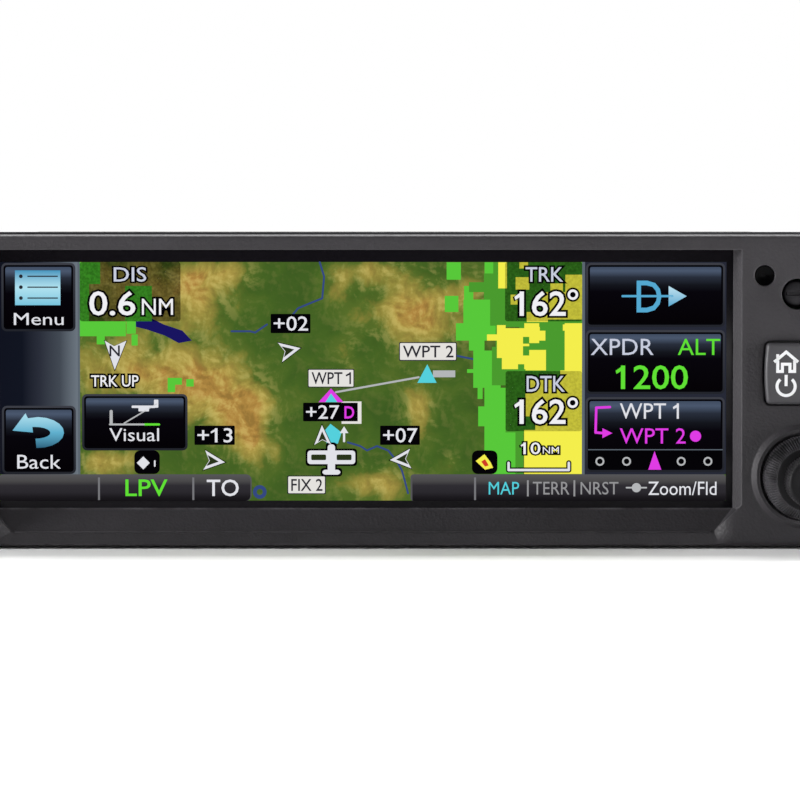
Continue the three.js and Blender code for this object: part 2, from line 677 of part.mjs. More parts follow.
// The pawl lies flat under the cover: a long arm with a rounded tip, and a foot for the nut.
const pawlShape = () => {
  const tip = pivotBack - pawlReach;
  return new THREE.Shape()
    .moveTo(tip, pivotZ - pawlHalfHeight)
    .lineTo(pivotBack - 1.2, pivotZ - pawlHalfHeight)
    .lineTo(pivotBack - 0.6, pivotZ - pawlFoot)
    .lineTo(pivotBack + 2, pivotZ - pawlFoot)
    .absarc(pivotBack, pivotZ, 2, 0, Math.PI / 2)
    .absarc(tip + pawlHalfHeight, pivotZ, pawlHalfHeight, Math.PI / 2, Math.PI);
};
const pawlHalf = pawlThickness / 2;
add("lock_pawl", cut(
  alongX(pawlShape(), lockX - pawlHalf, lockX + pawlHalf, 6),
  barX(pivotPinRadius + shaftClearance, lockX - pawlThickness, lockX + pawlThickness, pivotBack, pivotZ),
), nickel);
const bracketOuter = bracketHalf + bracketWall;
add("lock_pivot_pin", barX(pivotPinRadius, lockX - bracketOuter, lockX + bracketOuter, pivotBack, pivotZ, 16),
  brightSteel);
const bracketLow = lockZ - 3 * lockShaftRadius;
const bracketFront = pivotBack - 4;
add("lock_bracket", cut(
  block(lockX - bracketOuter, lockX + bracketOuter, bracketFront, bracketBack, bracketLow, sideTop),
  block(lockX - bracketHalf, lockX + bracketHalf, bracketFront - 1, bracketBack - bracketWall, bracketLow - 1,
    sideTop + 1),
  barX(pivotPinRadius + seat, lockX - 2 * bracketOuter, lockX + 2 * bracketOuter, pivotBack, pivotZ),
  barY(lockShaftRadius + seat, bracketBack - 2 * bracketWall, bracketBack + 1, lockX, lockZ),
), platedSteel);

// ---------- chassis ----------
const bothSides = (make) => [-1, 1].map((side) => make(side));
const sideBlock = (side, x0, x1, ...rest) => block(Math.min(side * x0, side * x1),
  Math.max(side * x0, side * x1),
  ...rest);
const coverScrews = bothSides((side) => side * (chassisInnerHalf - lipWidth / 2)).flatMap((x) =>
  [chassisY + coverScrewInset, chassisEnd - coverScrewInset].map((y) => [x, y]));
const lipFront = chassisY + 8;
const lipBack = chassisEnd - 8;
const lugLow = screwLow + screwBoss / 2;
const lugHigh = screwHigh - screwBoss / 2;
add("chassis", cut(
  join(
    block(-chassisHalf, chassisHalf, chassisY, chassisEnd, chassisBase, chassisBase + sheet),
    ...bothSides((side) => sideBlock(side, chassisInnerHalf, chassisHalf, chassisY, chassisEnd, chassisBase,
      sideTop)),
    ...bothSides((side) => sideBlock(side, chassisInnerHalf - lipWidth, chassisInnerHalf + sheet / 2,
      lipFront, lipBack, sideTop - sheet, sideTop)),
    ...bothSides((side) => sideBlock(side, bossInnerX, chassisInnerHalf + sheet / 2, webBackY + seat,
      chassisY + sheet, chassisBase + sheet / 2, lugLow)),
    ...bothSides((side) => sideBlock(side, bossInnerX, chassisInnerHalf + sheet / 2, webBackY + seat,
      chassisY + sheet, lugHigh, sideTop - seat)),
    ...bothSides((side) => sideBlock(side, bossInnerX, chassisInnerHalf + sheet / 2, chassisEnd - sheet,
      chassisEnd, chassisBase + sheet / 2, lugLow)),
    ...bothSides((side) => sideBlock(side, bossInnerX, chassisInnerHalf + sheet / 2, chassisEnd - sheet,
      chassisEnd, lugHigh, sideTop - sheet / 2)),
  ),
  ...cornerScrews.map(([x, z]) => barY(screwRadius + seat, webBackY, chassisY + 2 * sheet, x, z, 12)),
  ...cornerScrews.map(([x, z]) => barY(screwRadius + seat, chassisEnd - 2 * sheet, chassisEnd + 1, x, z, 12)),
  ...coverScrews.map(([x, y]) => barZ(screwRadius + seat, sideTop - 2 * sheet, sideTop + 1, x, y)),
), platedSteel);

const firstVent = boardEnd - ventCount * ventPitch - 30;
const vents = Array.from({ length: ventCount }, (_, i) => firstVent + i * ventPitch);
add("top_cover", cut(
  block(-chassisHalf, chassisHalf, chassisY, chassisEnd, coverZ, chassisTop),
  block(lockX - pawlHalf - slip, lockX + pawlHalf + slip, pivotBack - pawlReach - 0.5, pivotBack - 0.8,
    coverZ - 1, chassisTop + 1),
  ...coverScrews.map(([x, y]) => barZ(screwRadius + seat, coverZ - 1, chassisTop, x, y)),
  ...coverScrews.map(([x, y]) => coneZ(screwRadius + seat, 3 * screwRadius + seat, chassisTop - screwSink,
    chassisTop + screwSink, x, y)),
  ...vents.flatMap((y) => bothSides((side) => sideBlock(side, 12, 12 + ventLength, y, y + ventWidth,
    coverZ - 1, chassisTop + 1))),
), platedSteel);
coverScrews.forEach(([x, y], i) => {
  add(`cover_screw_${i + 1}`, join(
    barZ(screwRadius, chassisTop - coverScrewLength, chassisTop - screwSink / 2, x, y),
    coneZ(screwRadius, 2 * screwRadius, chassisTop - screwSink, chassisTop, x, y),
  ), brightSteel);
});

// ---------- boards and modules ----------
add("main_board", block(-boardHalf, boardHalf, boardFront, boardEnd, boardLow, boardHigh), circuitBoard);
const standoffs = bothSides((side) => side * (boardHalf - standoffInset)).flatMap((x) =>
  [boardFront + standoffInset, boardEnd - standoffInset].map((y) => [x, y]));
standoffs.forEach(([x, y], i) => {
  add(`board_standoff_${i + 1}`, barZ(standoffRadius, chassisBase + sheet + seat, boardLow - seat, x, y, 16),
    nickel);
});

// A drawn tin can, open underneath, soldered over part of the board.
const shield = (x, y, width, length, height) => {
  const low = boardHigh + seat;
  return cut(
    block(x - width / 2, x + width / 2, y - length / 2, y + length / 2, low, low + height),
    block(x - width / 2 + shieldWall, x + width / 2 - shieldWall, y - length / 2 + shieldWall,
      y + length / 2 - shieldWall, low - 1, low + height - shieldWall),
  );
};
const receiver = { x: -40, y: boardFront + 42, width: 42, length: 52, height: 7 };
const supply = { x: 44, y: boardFront + 22, width: 40, length: 30, height: 14 };
const transmitterFront = supply.y + supply.length / 2 + moduleGap;
const transmitterBack = boardEnd - moduleRearGap;
const transmitter = {
  x: 36,
  y: (transmitterFront + transmitterBack) / 2,
  width: 58,
  length: transmitterBack - transmitterFront,
  height: 16,
};
add("receiver_shield", shield(receiver.x, receiver.y, receiver.width, receiver.length, receiver.height),
  tinPlate);
add("transmitter_shield", shield(transmitter.x, transmitter.y, transmitter.width, transmitter.length,
  transmitter.height), tinPlate);
add("supply_module", block(supply.x - supply.width / 2, supply.x + supply.width / 2,
  supply.y - supply.length / 2,
  supply.y + supply.length / 2, boardHigh + seat, boardHigh + seat + supply.height), blackPlastic);

// A flat strip that follows a line in Y-Z, as wide as the ribbon along X.
const strip = (points, thickness) => {
  const upper = points.map(([y, z], i) => {
    const [y0, z0] = points[Math.max(i - 1, 0)];
    const [y1, z1] = points[Math.min(i + 1, points.length - 1)];
    const length = Math.hypot(y1 - y0, z1 - z0);
    return [y - ((z1 - z0) / length) * thickness, z + ((y1 - y0) / length) * thickness];
  });
  return polygon([...points, ...upper.reverse()]);
};
const ribbonStart = displayBoardY + boardThickness + 2 * seat + ribbonThickness;
const ribbonLow = boardHigh + 2 * seat;
add("display_ribbon", alongX(strip([[ribbonStart, 26], [ribbonStart, 19], [ribbonStart + 1, 16],
  [ribbonStart + 3.5, 14], [ribbonStart + 8, 13], [boardFront - 6, 13], [boardFront - 2, 12.4],
  [boardFront + 2, ribbonLow], [boardFront + 10, ribbonLow]], ribbonThickness), -ribbonWidth / 2,
ribbonWidth / 2), blackPlastic);

// ---------- rear plate, heat sink and connectors ----------
const antennaX = chassisHalf - antennaFromSide;
const connectorSpan = mainConnectorWidth + connectorGap + secondConnectorWidth;
const mainX = -connectorSpan / 2 + mainConnectorWidth / 2;
const secondX = connectorSpan / 2 - secondConnectorWidth / 2;

// The outline of a D connector's shroud, which keys it one way up.
const shroud = (x, width, inset, y0, y1) => {
  const top = width / 2 - inset;
  const bottom = top - shroudFlare;
  const half = shroudHeight / 2 - inset;
  return alongY(polygon([[x - bottom, connectorZ - half], [x + bottom, connectorZ - half],
    [x + top, connectorZ + half], [x - top, connectorZ + half]]), y0, y1);
};
const connector = (x, width) => {
  const end = rearFaceY + shroudDepth;
  return cut(
    join(
      plate(x, connectorZ, width / 2 + 2.5, shroudHeight / 2 + 1.2, chassisEnd - sheet - seat, chassisEnd),
      shroud(x, width, 1, chassisEnd - 6, chassisEnd - sheet),
      shroud(x, width, 0, chassisEnd - sheet, end),
    ),
    shroud(x, width, shroudWall, rearFaceY + 0.6, end + 1),
  );
};
add("main_connector", connector(mainX, mainConnectorWidth), nickel);
add("second_connector", connector(secondX, secondConnectorWidth), nickel);

const antennaEnd = rearFaceY + antennaLength;
const antennaConnector = (x) =>
  turned([[0, chassisEnd - sheet], [antennaFlangeRadius, chassisEnd - sheet],
    [antennaFlangeRadius, chassisEnd], [antennaRadius, chassisEnd],
    [antennaRadius, antennaEnd], [antennaBore, antennaEnd],
    [antennaBore, rearFaceY + 3], [0.7, rearFaceY + 3], [0.7, antennaEnd - 2], [0, antennaEnd - 2]],
  x, connectorZ, 28);
add("gps_antenna_connector", antennaConnector(-antennaX), nickel);
add("transponder_antenna_connector", antennaConnector(antennaX), nickel);

const leadEnd = receiver.y + receiver.length / 2 + slip;
const leadRoute = new THREE.CatmullRomCurve3([
  new THREE.Vector3(-antennaX, chassisEnd - sheet - slip, connectorZ),
  new THREE.Vector3(-antennaX, chassisEnd - 15, connectorZ),
  new THREE.Vector3(-antennaX + 3, chassisEnd - 45, connectorZ),
  new THREE.Vector3(receiver.x - 12, leadEnd + 34, connectorZ),
  new THREE.Vector3(receiver.x - 2, leadEnd + 16, connectorZ),
  new THREE.Vector3(receiver.x, leadEnd + 6, connectorZ),
  new THREE.Vector3(receiver.x, leadEnd, connectorZ),
]);
const leadSection = new THREE.Shape(Array.from({ length: 8 }, (_, i) =>
  new THREE.Vector2(leadRadius * Math.cos((i * Math.PI) / 4), leadRadius * Math.sin((i * Math.PI) / 4))));
add("gps_antenna_lead", new THREE.ExtrudeGeometry(leadSection, { steps: 36, extrudePath: leadRoute }),
  blackPlastic);

add("rear_plate", cut(
  block(-chassisHalf, chassisHalf, rearPlateY, rearFaceY, chassisBase, chassisTop),
  shroud(mainX, mainConnectorWidth, -seat, chassisEnd - 1, rearFaceY + 1),
  shroud(secondX, secondConnectorWidth, -seat, chassisEnd - 1, rearFaceY + 1),
  ...bothSides((side) => barY(antennaRadius + seat, chassisEnd - 1, rearFaceY + 1, side * antennaX,
    connectorZ, 28)),
  ...cornerScrews.map(([x, z]) => barY(screwRadius + seat, chassisEnd - 1, rearFaceY + 1, x, z, 12)),
), aluminium);
cornerScrews.forEach(([x, z], i) => {
  const head = rearFaceY + seat;
  add(`rear_plate_screw_${i + 1}`, join(
    barY(screwRadius, chassisEnd - 4, head + screwHeadHeight / 2, x, z, 12),
    barY(2 * screwRadius, head, head + screwHeadHeight, x, z, 16),
  ), brightSteel);
});

const sinkY = rearFaceY + seat;
const sinkHigh = chassisTop - sinkFromTop;
const finPitch = (sinkWidth - finThickness) / (finCount - 1);
add("heat_sink", join(
  block(-sinkWidth / 2, sinkWidth / 2, sinkY, sinkY + sinkBase, sinkHigh - sinkHeight, sinkHigh),
  ...Array.from({ length: finCount }, (_, i) => {
    const x = -sinkWidth / 2 + i * finPitch;
    return block(x, x + finThickness, sinkY, sinkY + sinkBase + finDepth, sinkHigh - sinkHeight, sinkHigh);
  }),
), blackAluminium);

// The part's origin is under the middle of the whole unit, from the inner knob to the fins.
const overall = new THREE.Box3().setFromObject(unit);
for (const mesh of unit.children) mesh.position.y -= (overall.min.y + overall.max.y) / 2;

export default unit;
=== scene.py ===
# %% [markdown]
# # A panel-mounted aviation navigator
# The unit is a wide touch display in a charcoal bezel, with a home key and a double knob in its right
# column, on the front of a sheet-metal chassis. A fixed model already settles every size and place.
# This notebook gives each piece its fine shape and its finish around that model. Shapes are written in
# millimetres, and one helper turns them into metres at the end of each piece.

# %% Load the fixed model
import json
import math
import bmesh
import bpy
from mathutils import Matrix, Vector


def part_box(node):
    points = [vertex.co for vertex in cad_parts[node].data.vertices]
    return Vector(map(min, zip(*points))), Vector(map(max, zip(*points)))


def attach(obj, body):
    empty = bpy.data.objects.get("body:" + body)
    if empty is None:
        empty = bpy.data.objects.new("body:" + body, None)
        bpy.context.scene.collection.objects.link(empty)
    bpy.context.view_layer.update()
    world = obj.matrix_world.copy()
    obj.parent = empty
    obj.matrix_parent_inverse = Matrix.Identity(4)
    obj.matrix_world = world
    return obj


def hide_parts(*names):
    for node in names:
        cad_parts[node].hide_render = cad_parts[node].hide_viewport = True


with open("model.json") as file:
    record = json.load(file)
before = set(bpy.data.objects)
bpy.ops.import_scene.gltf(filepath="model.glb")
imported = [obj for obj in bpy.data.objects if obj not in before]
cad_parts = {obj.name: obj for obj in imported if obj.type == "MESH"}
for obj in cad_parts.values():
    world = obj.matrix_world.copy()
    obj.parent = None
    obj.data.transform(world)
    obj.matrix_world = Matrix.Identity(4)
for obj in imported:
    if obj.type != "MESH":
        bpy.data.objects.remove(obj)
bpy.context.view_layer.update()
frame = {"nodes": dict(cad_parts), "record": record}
MM = 0.001


# %% A node's place, in millimetres
def where(node_name):
    """Lowest and highest corner of one node of the fixed model, in millimetres."""
    low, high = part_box(node_name)
    return low / MM, high / MM


def middle(node_name):
    low, high = where(node_name)
    return (low + high) / 2


BOSS_RISE = 1.2  # the ring round the knob stands this far in front of the columns
column_y = where("front_bezel")[0].y + BOSS_RISE
unit_height = where("bezel_back_frame")[1].z
print("front of the columns:", round(column_y, 2), "unit height:", round(unit_height, 2))

# %% [markdown]
# ## Camera, floor and light
# A catalogue picture of such a unit is taken from far away with a long lens, nearly level with it, so
# that its edges stay parallel. The camera stands 700 mm in front of the columns and slightly above. The
# lens follows from the width that the frame takes in at that distance.

# %% Camera
VIEW_DISTANCE = 700
VIEW_WIDTH = 128  # mm of the columns' front plane across the frame
VIEW_RISE = 2.65  # degrees above level
SENSOR = 36
view_target = Vector((1.28, column_y, 24.0))
rise = math.radians(VIEW_RISE)
camera_data = bpy.data.cameras.new("catalogue_camera")
camera_data.sensor_width = SENSOR
camera_data.lens = SENSOR * VIEW_DISTANCE / VIEW_WIDTH
camera_data.clip_start, camera_data.clip_end = 0.01, 20
camera = bpy.data.objects.new("catalogue_camera", camera_data)
back = Vector((0, -math.cos(rise), math.sin(rise)))
camera.location = (view_target + back * VIEW_DISTANCE) * MM
camera.rotation_euler = (-back).to_track_quat("-Z", "Y").to_euler()
bpy.context.scene.collection.objects.link(camera)
bpy.context.scene.camera = camera
print("lens:", round(camera_data.lens, 1), "mm")

# %% [markdown]
# The floor and what is behind it are plain white. The world is white where the camera sees it, and
# dimmer as a light, so that the charcoal paint isn't washed out. Area lights do the work: a large one
# overhead and behind, a small one low on each side that rakes across the recess, and a wide one in front.

# %% World and view
scene = bpy.context.scene
scene.view_settings.view_transform = "Standard"
scene.view_settings.look = "None"
scene.view_settings.exposure = 0
scene.view_settings.gamma = 1


def add_node(tree, kind, inputs=None, **settings):
    """A shader node with its settings, and its inputs joined to a socket or set to a value."""
    made = tree.nodes.new(kind)
    for setting, value in settings.items():
        setattr(made, setting, value)
    for socket, value in (inputs or {}).items():
        if isinstance(value, bpy.types.NodeSocket):
            tree.links.new(value, made.inputs[socket])
        else:
            made.inputs[socket].default_value = value
    return made


WORLD_LIGHT = 0.1
world = bpy.data.worlds.new("white_studio")
scene.world = world
world.use_nodes = True
sky = world.node_tree
seen = add_node(sky, "ShaderNodeLightPath")
strength = add_node(sky, "ShaderNodeMix", {
    "Factor": seen.outputs["Is Camera Ray"], "A": WORLD_LIGHT, "B": 1.0})
background = sky.nodes["Background"]
background.inputs["Color"].default_value = (1, 1, 1, 1)
sky.links.new(strength.outputs["Result"], background.inputs["Strength"])
print("world light:", WORLD_LIGHT)


# %% Floor and lights
def area_light(name, place, aim, width, height, watts):
    """A rectangular light at place, facing aim, all in millimetres."""
    data = bpy.data.lights.new(name, "AREA")
    data.shape = "RECTANGLE"
    data.size, data.size_y, data.energy = width * MM, height * MM, watts
    light = bpy.data.objects.new(name, data)
    light.location = Vector(place) * MM
    light.rotation_euler = (Vector(aim) - Vector(place)).to_track_quat("-Z", "Y").to_euler()
    scene.collection.objects.link(light)


area_light("behind_overhead", (0, 330, 720), (0, -230, 0), 1400, 700, 23)
area_light("left_side", (-640, -215, 90), (60, column_y, 25), 160, 300, 9.5)
area_light("right_side", (640, -200, 60), (-60, column_y, 20), 160, 240, 6)
area_light("front_fill", (420, -1250, 40), (30, column_y, 25), 700, 240, 2.3)

floor_mesh = bmesh.new()
bmesh.ops.create_grid(floor_mesh, x_segments=1, y_segments=1, size=4.0)
floor_data = bpy.data.meshes.new("studio_floor")
floor_mesh.to_mesh(floor_data)
floor_mesh.free()
floor = bpy.data.objects.new("studio_floor", floor_data)
scene.collection.objects.link(floor)
floor_paint = bpy.data.materials.new("white_floor")
floor_paint.use_nodes = True
floor_tree = floor_paint.node_tree
floor_shader = floor_tree.nodes["Principled BSDF"]
floor_place = add_node(floor_tree, "ShaderNodeTexCoord")
floor_mottle = add_node(
    floor_tree, "ShaderNodeTexNoise", {"Vector": floor_place.outputs["Object"], "Scale": 3.0, "Detail": 2.0})
floor_tint = add_node(
    floor_tree, "ShaderNodeMix",
    {"Factor": floor_mottle.outputs["Fac"], "A": (0.93, 0.93, 0.93, 1), "B": (0.96, 0.96, 0.96, 1)},
    data_type="RGBA")
floor_tree.links.new(floor_tint.outputs["Result"], floor_shader.inputs["Base Color"])
floor_shader.inputs["Roughness"].default_value = 0.9
floor_data.materials.append(floor_paint)

# %% [markdown]
# ## Shared shader groups
# Several finishes need the same effects: a fine grain, a lighter line along edges that is partly wear and
# partly a painted highlight, and streaks from a rolling mill. Each effect is one node group with its own
# inputs, so that it is drawn once and every finish sets its own amounts. A group only hands out values, and
# the shader stays in the material.

# %% Colours and groups
def tone(red, green, blue):
    """A colour as the eye sees it, 0 to 255, in linear light."""
    def linear(part):
        part /= 255
        return part / 12.92 if part <= 0.04045 else ((part + 0.055) / 1.055) ** 2.4
    return (linear(red), linear(green), linear(blue), 1.0)


def new_group(name, inputs, outputs):
    """An empty node group, with inputs as name: default (None for a vector) and outputs as names."""
    group = bpy.data.node_groups.new(name, "ShaderNodeTree")
    for label, default in inputs.items():
        kind = "NodeSocketVector" if default is None else "NodeSocketFloat"
        socket = group.interface.new_socket(label, in_out="INPUT", socket_type=kind)
        if default is not None:
            socket.default_value = default
    for label in outputs:
        group.interface.new_socket(label, in_out="OUTPUT", socket_type="NodeSocketFloat")
    return group, group.nodes.new("NodeGroupInput").outputs, group.nodes.new("NodeGroupOutput")


def calculate(tree, operation, first, second=0.0):
    """One Math node, and the socket that it puts out."""
    made = tree.nodes.new("ShaderNodeMath")
    made.operation = operation
    for slot, value in enumerate((first, second)):
        if isinstance(value, bpy.types.NodeSocket):
            tree.links.new(value, made.inputs[slot])
        else:
            made.inputs[slot].default_value = value
    return made.outputs[0]


def spread(tree, value, from_low, from_high, to_low=0.0, to_high=1.0):
    """A value moved from one range to another and held inside it."""
    return add_node(tree, "ShaderNodeMapRange", {
        "Value": value, "From Min": from_low, "From Max": from_high, "To Min": to_low, "To Max": to_high,
    }).outputs["Result"]


# %% Fine grain, for moulded and painted surfaces
grain, grain_in, grain_out = new_group(
    "fine_grain", {"Place": None, "Grain": 2500.0, "Patches": 60.0}, ["Height", "Mottle"])
grain_specks = add_node(grain, "ShaderNodeTexNoise", {
    "Vector": grain_in["Place"], "Scale": grain_in["Grain"], "Detail": 2.0, "Roughness": 0.6})
grain_pits = add_node(grain, "ShaderNodeTexVoronoi", {
    "Vector": grain_in["Place"], "Scale": grain_in["Grain"]})
grain_patches = add_node(grain, "ShaderNodeTexNoise", {
    "Vector": grain_in["Place"], "Scale": grain_in["Patches"], "Detail": 4.0, "Roughness": 0.6})
grain.links.new(
    calculate(grain, "ADD", grain_specks.outputs["Fac"],
              calculate(grain, "MULTIPLY", grain_pits.outputs["Distance"], 0.6)),
    grain_out.inputs["Height"])
grain.links.new(spread(grain, grain_patches.outputs["Fac"], 0.3, 0.7), grain_out.inputs["Mottle"])
print("group:", grain.name)

# %% Edge wear and painted edge highlight, from how far a rounded normal turns away from the true one
# Paler edges: partly wear, partly a painted highlight where light would catch the edges.
wear_and_sheen, wear_and_sheen_in, wear_and_sheen_out = new_group(
    "edge_wear_and_sheen", {"Place": None, "Radius": 0.0004, "Patches": 300.0}, ["Wear"])
edge_round = add_node(wear_and_sheen, "ShaderNodeBevel", {"Radius": wear_and_sheen_in["Radius"]}, samples=4)
edge_true = add_node(wear_and_sheen, "ShaderNodeNewGeometry")
edge_turn = add_node(wear_and_sheen, "ShaderNodeVectorMath", {0: edge_round.outputs[0], 1: edge_true.outputs["Normal"]},
                     operation="DOT_PRODUCT")
edge_noise = add_node(wear_and_sheen, "ShaderNodeTexNoise", {
    "Vector": wear_and_sheen_in["Place"], "Scale": wear_and_sheen_in["Patches"], "Detail": 3.0})
wear_and_sheen.links.new(
    calculate(wear_and_sheen, "MULTIPLY", spread(wear_and_sheen, edge_turn.outputs["Value"], 0.995, 0.8),
              spread(wear_and_sheen, edge_noise.outputs["Fac"], 0.35, 0.65)),
    wear_and_sheen_out.inputs["Wear"])
print("group:", wear_and_sheen.name)

# %% Mill streaks, for sheet and turned metal
streaks, streaks_in, streaks_out = new_group(
    "mill_streaks", {"Place": None, "Along": 20.0, "Across": 1500.0}, ["Streak", "Stain"])
streaks_stretch = add_node(streaks, "ShaderNodeCombineXYZ", {
    "X": streaks_in["Across"], "Y": streaks_in["Along"], "Z": streaks_in["Across"]})
streaks_place = add_node(streaks, "ShaderNodeVectorMath", {
    0: streaks_in["Place"], 1: streaks_stretch.outputs[0]}, operation="MULTIPLY")
streaks_lines = add_node(streaks, "ShaderNodeTexNoise", {
    "Vector": streaks_place.outputs[0], "Scale": 1.0, "Detail": 3.0})
streaks_stain = add_node(streaks, "ShaderNodeTexNoise", {
    "Vector": streaks_in["Place"], "Scale": 45.0, "Detail": 5.0, "Roughness": 0.65})
streaks.links.new(spread(streaks, streaks_lines.outputs["Fac"], 0.3, 0.7), streaks_out.inputs["Streak"])
streaks.links.new(spread(streaks, streaks_stain.outputs["Fac"], 0.35, 0.7), streaks_out.inputs["Stain"])
print("group:", streaks.name)

# %% [markdown]
# ## Finishes
# Moulded and painted pieces share one recipe: a dark colour that drifts a little in patches, a grain in
# the bump, and a paler line along edges that is partly wear and partly a painted highlight. Metals share
# another: mill streaks that change the roughness, and faint stains in the colour. Only the numbers differ.

# %% Recipe for moulded and painted finishes
def start_material(name):
    """A new material with its tree, its Principled BSDF and the object's own coordinates."""
    material = bpy.data.materials.new(name)
    material.use_nodes = True
    tree = material.node_tree
    place = tree.nodes.new("ShaderNodeTexCoord").outputs["Object"]
    return material, tree, tree.nodes["Principled BSDF"], place


def use_group(tree, group, inputs):
    """A node group placed in a material, with its inputs joined or set."""
    made = add_node(tree, "ShaderNodeGroup", node_tree=group)
    for socket, value in inputs.items():
        if isinstance(value, bpy.types.NodeSocket):
            tree.links.new(value, made.inputs[socket])
        else:
            made.inputs[socket].default_value = value
    return made


def blend_colours(tree, amount, first, second):
    return add_node(tree, "ShaderNodeMix", {"Factor": amount, "A": first, "B": second},
                    data_type="RGBA").outputs["Result"]


EDGE_RADIUS = 0.0004  # metres over which an edge turns paler, partly as wear and partly as a painted highlight


def moulded(name, colour, worn_and_sheen, roughness, grain_size, grain_height, drift):
    """Plastic or paint with a grain, patchy colour and paler edges."""
    material, tree, shader, place = start_material(name)
    texture = use_group(tree, grain, {"Place": place, "Grain": grain_size})
    edges = use_group(tree, wear_and_sheen, {"Place": place, "Radius": EDGE_RADIUS})
    pale = tuple(part * (1 + drift) for part in colour[:3]) + (1.0,)
    deep = tuple(part * (1 - drift) for part in colour[:3]) + (1.0,)
    body = blend_colours(tree, texture.outputs["Mottle"], deep, pale)
    # The edges blend to the paler colour, partly as wear and partly as a painted highlight.
    tree.links.new(blend_colours(tree, edges.outputs["Wear"], body, worn_and_sheen), shader.inputs["Base Color"])
    tree.links.new(spread(tree, texture.outputs["Height"], 0.3, 1.1, roughness - 0.06, roughness + 0.08),
                   shader.inputs["Roughness"])
    bump = add_node(tree, "ShaderNodeBump", {
        "Height": texture.outputs["Height"], "Distance": grain_height, "Strength": 1.0})
    tree.links.new(bump.outputs[0], shader.inputs["Normal"])
    shader.inputs["Specular IOR Level"].default_value = 0.25
    return material


# %% Recipe for metals
STREAK_DEPTH = 0.000004  # metres


def metal(name, colour, stained, roughness, along=20.0, across=1500.0, shine=0.9):
    """Sheet, cast or turned metal with streaks from its making and faint stains."""
    material, tree, shader, place = start_material(name)
    lines = use_group(tree, streaks, {"Place": place, "Along": along, "Across": across})
    tree.links.new(blend_colours(tree, lines.outputs["Stain"], colour, stained), shader.inputs["Base Color"])
    tree.links.new(spread(tree, lines.outputs["Streak"], 0.0, 1.0, roughness - 0.08, roughness + 0.1),
                   shader.inputs["Roughness"])
    bump = add_node(tree, "ShaderNodeBump", {
        "Height": lines.outputs["Streak"], "Distance": STREAK_DEPTH, "Strength": 1.0})
    tree.links.new(bump.outputs[0], shader.inputs["Normal"])
    shader.inputs["Metallic"].default_value = shine
    return material


# %% The finishes themselves
moulded_finishes = {  # colour, paler edge colour (wear and painted highlight), roughness, grain size, grain height, drift of the colour
    "bezel_paint": (tone(48, 46, 49), tone(76, 74, 78), 0.55, 2000.0, 0.00006, 0.12),
    "key_plastic": (tone(64, 63, 66), tone(120, 118, 122), 0.42, 3000.0, 0.00001, 0.06),
    "knob_plastic": (tone(15, 14, 16), tone(84, 82, 86), 0.52, 3200.0, 0.00001, 0.1),
    "black_plastic": (tone(24, 23, 25), tone(60, 60, 62), 0.45, 3000.0, 0.00001, 0.15),
    "rubber": (tone(22, 22, 22), tone(40, 40, 40), 0.8, 1800.0, 0.00002, 0.2),
    "white_plastic": (tone(225, 226, 228), tone(240, 240, 240), 0.5, 3000.0, 0.000005, 0.02),
    "circuit_board": (tone(24, 78, 44), tone(110, 130, 90), 0.35, 900.0, 0.00001, 0.25),
}
metal_finishes = {  # colour, stained colour, roughness, streaks along and across, shine
    "frame_finish": (tone(84, 85, 88), tone(70, 70, 73), 0.42, 300.0, 300.0, 0.75),
    "black_aluminium": (tone(38, 38, 41), tone(30, 30, 32), 0.45, 60.0, 900.0, 0.6),
    "tin_plate": (tone(196, 197, 199), tone(170, 171, 172), 0.3),
    "plated_steel": (tone(126, 125, 121), tone(110, 108, 102), 0.52, 25.0, 1200.0),
    "bright_steel": (tone(205, 206, 208), tone(180, 180, 182), 0.24, 2000.0, 300.0),
    "nickel_plate": (tone(214, 208, 194), tone(190, 182, 166), 0.26, 600.0, 600.0),
    "bare_aluminium": (tone(150, 151, 154), tone(134, 135, 139), 0.46, 30.0, 1400.0),
}
finish = {name: moulded(name, *values) for name, values in moulded_finishes.items()}
finish.update({name: metal(name, *values) for name, values in metal_finishes.items()})
KNOB_SHINE = 0.12
knob_shader = finish["knob_plastic"].node_tree.nodes["Principled BSDF"]
knob_shader.inputs["Specular IOR Level"].default_value = KNOB_SHINE
print("finishes:", len(finish))

# %% [markdown]
# ## From a bmesh to a shown piece
# Every new piece ends the same way: its bmesh goes from millimetres to metres, its faces are turned
# outwards, its sharp corners stay sharp while round stretches shade smooth, and it rides on a body of the
# fixed model. A refined copy of a node starts from the node's own triangles, merged into whole faces.

# %% Finishing a piece, and starting from a node
def show(name, bm, material, body, replaces=(), smooth=40):
    """Makes the shown object from a bmesh in millimetres."""
    bmesh.ops.recalc_face_normals(bm, faces=bm.faces)
    bmesh.ops.scale(bm, vec=Vector((MM, MM, MM)), verts=bm.verts)
    mesh = bpy.data.meshes.new(name)
    bm.to_mesh(mesh)
    bm.free()
    mesh.shade_smooth()
    mesh.set_sharp_from_angle(angle=math.radians(smooth))
    mesh.materials.append(material)
    piece = bpy.data.objects.new(name, mesh)
    scene.collection.objects.link(piece)
    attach(piece, body)
    if replaces:
        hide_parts(*replaces)
    return piece


def merged_copy(node_name):
    """The node's shape as a bmesh in millimetres, its triangles merged and its flat areas whole."""
    bm = bmesh.new()
    bm.from_mesh(frame["nodes"][node_name].data)
    bmesh.ops.scale(bm, vec=Vector((1, 1, 1)) / MM, verts=bm.verts)
    bmesh.ops.remove_doubles(bm, verts=bm.verts, dist=0.002)
    bmesh.ops.dissolve_limit(bm, angle_limit=math.radians(0.5), verts=bm.verts, edges=bm.edges)
    return bm


def join(target, part):
    """Adds one bmesh to another and frees it."""
    carrier = bpy.data.meshes.new("carrier")
    part.to_mesh(carrier)
    part.free()
    target.from_mesh(carrier)
    bpy.data.meshes.remove(carrier)


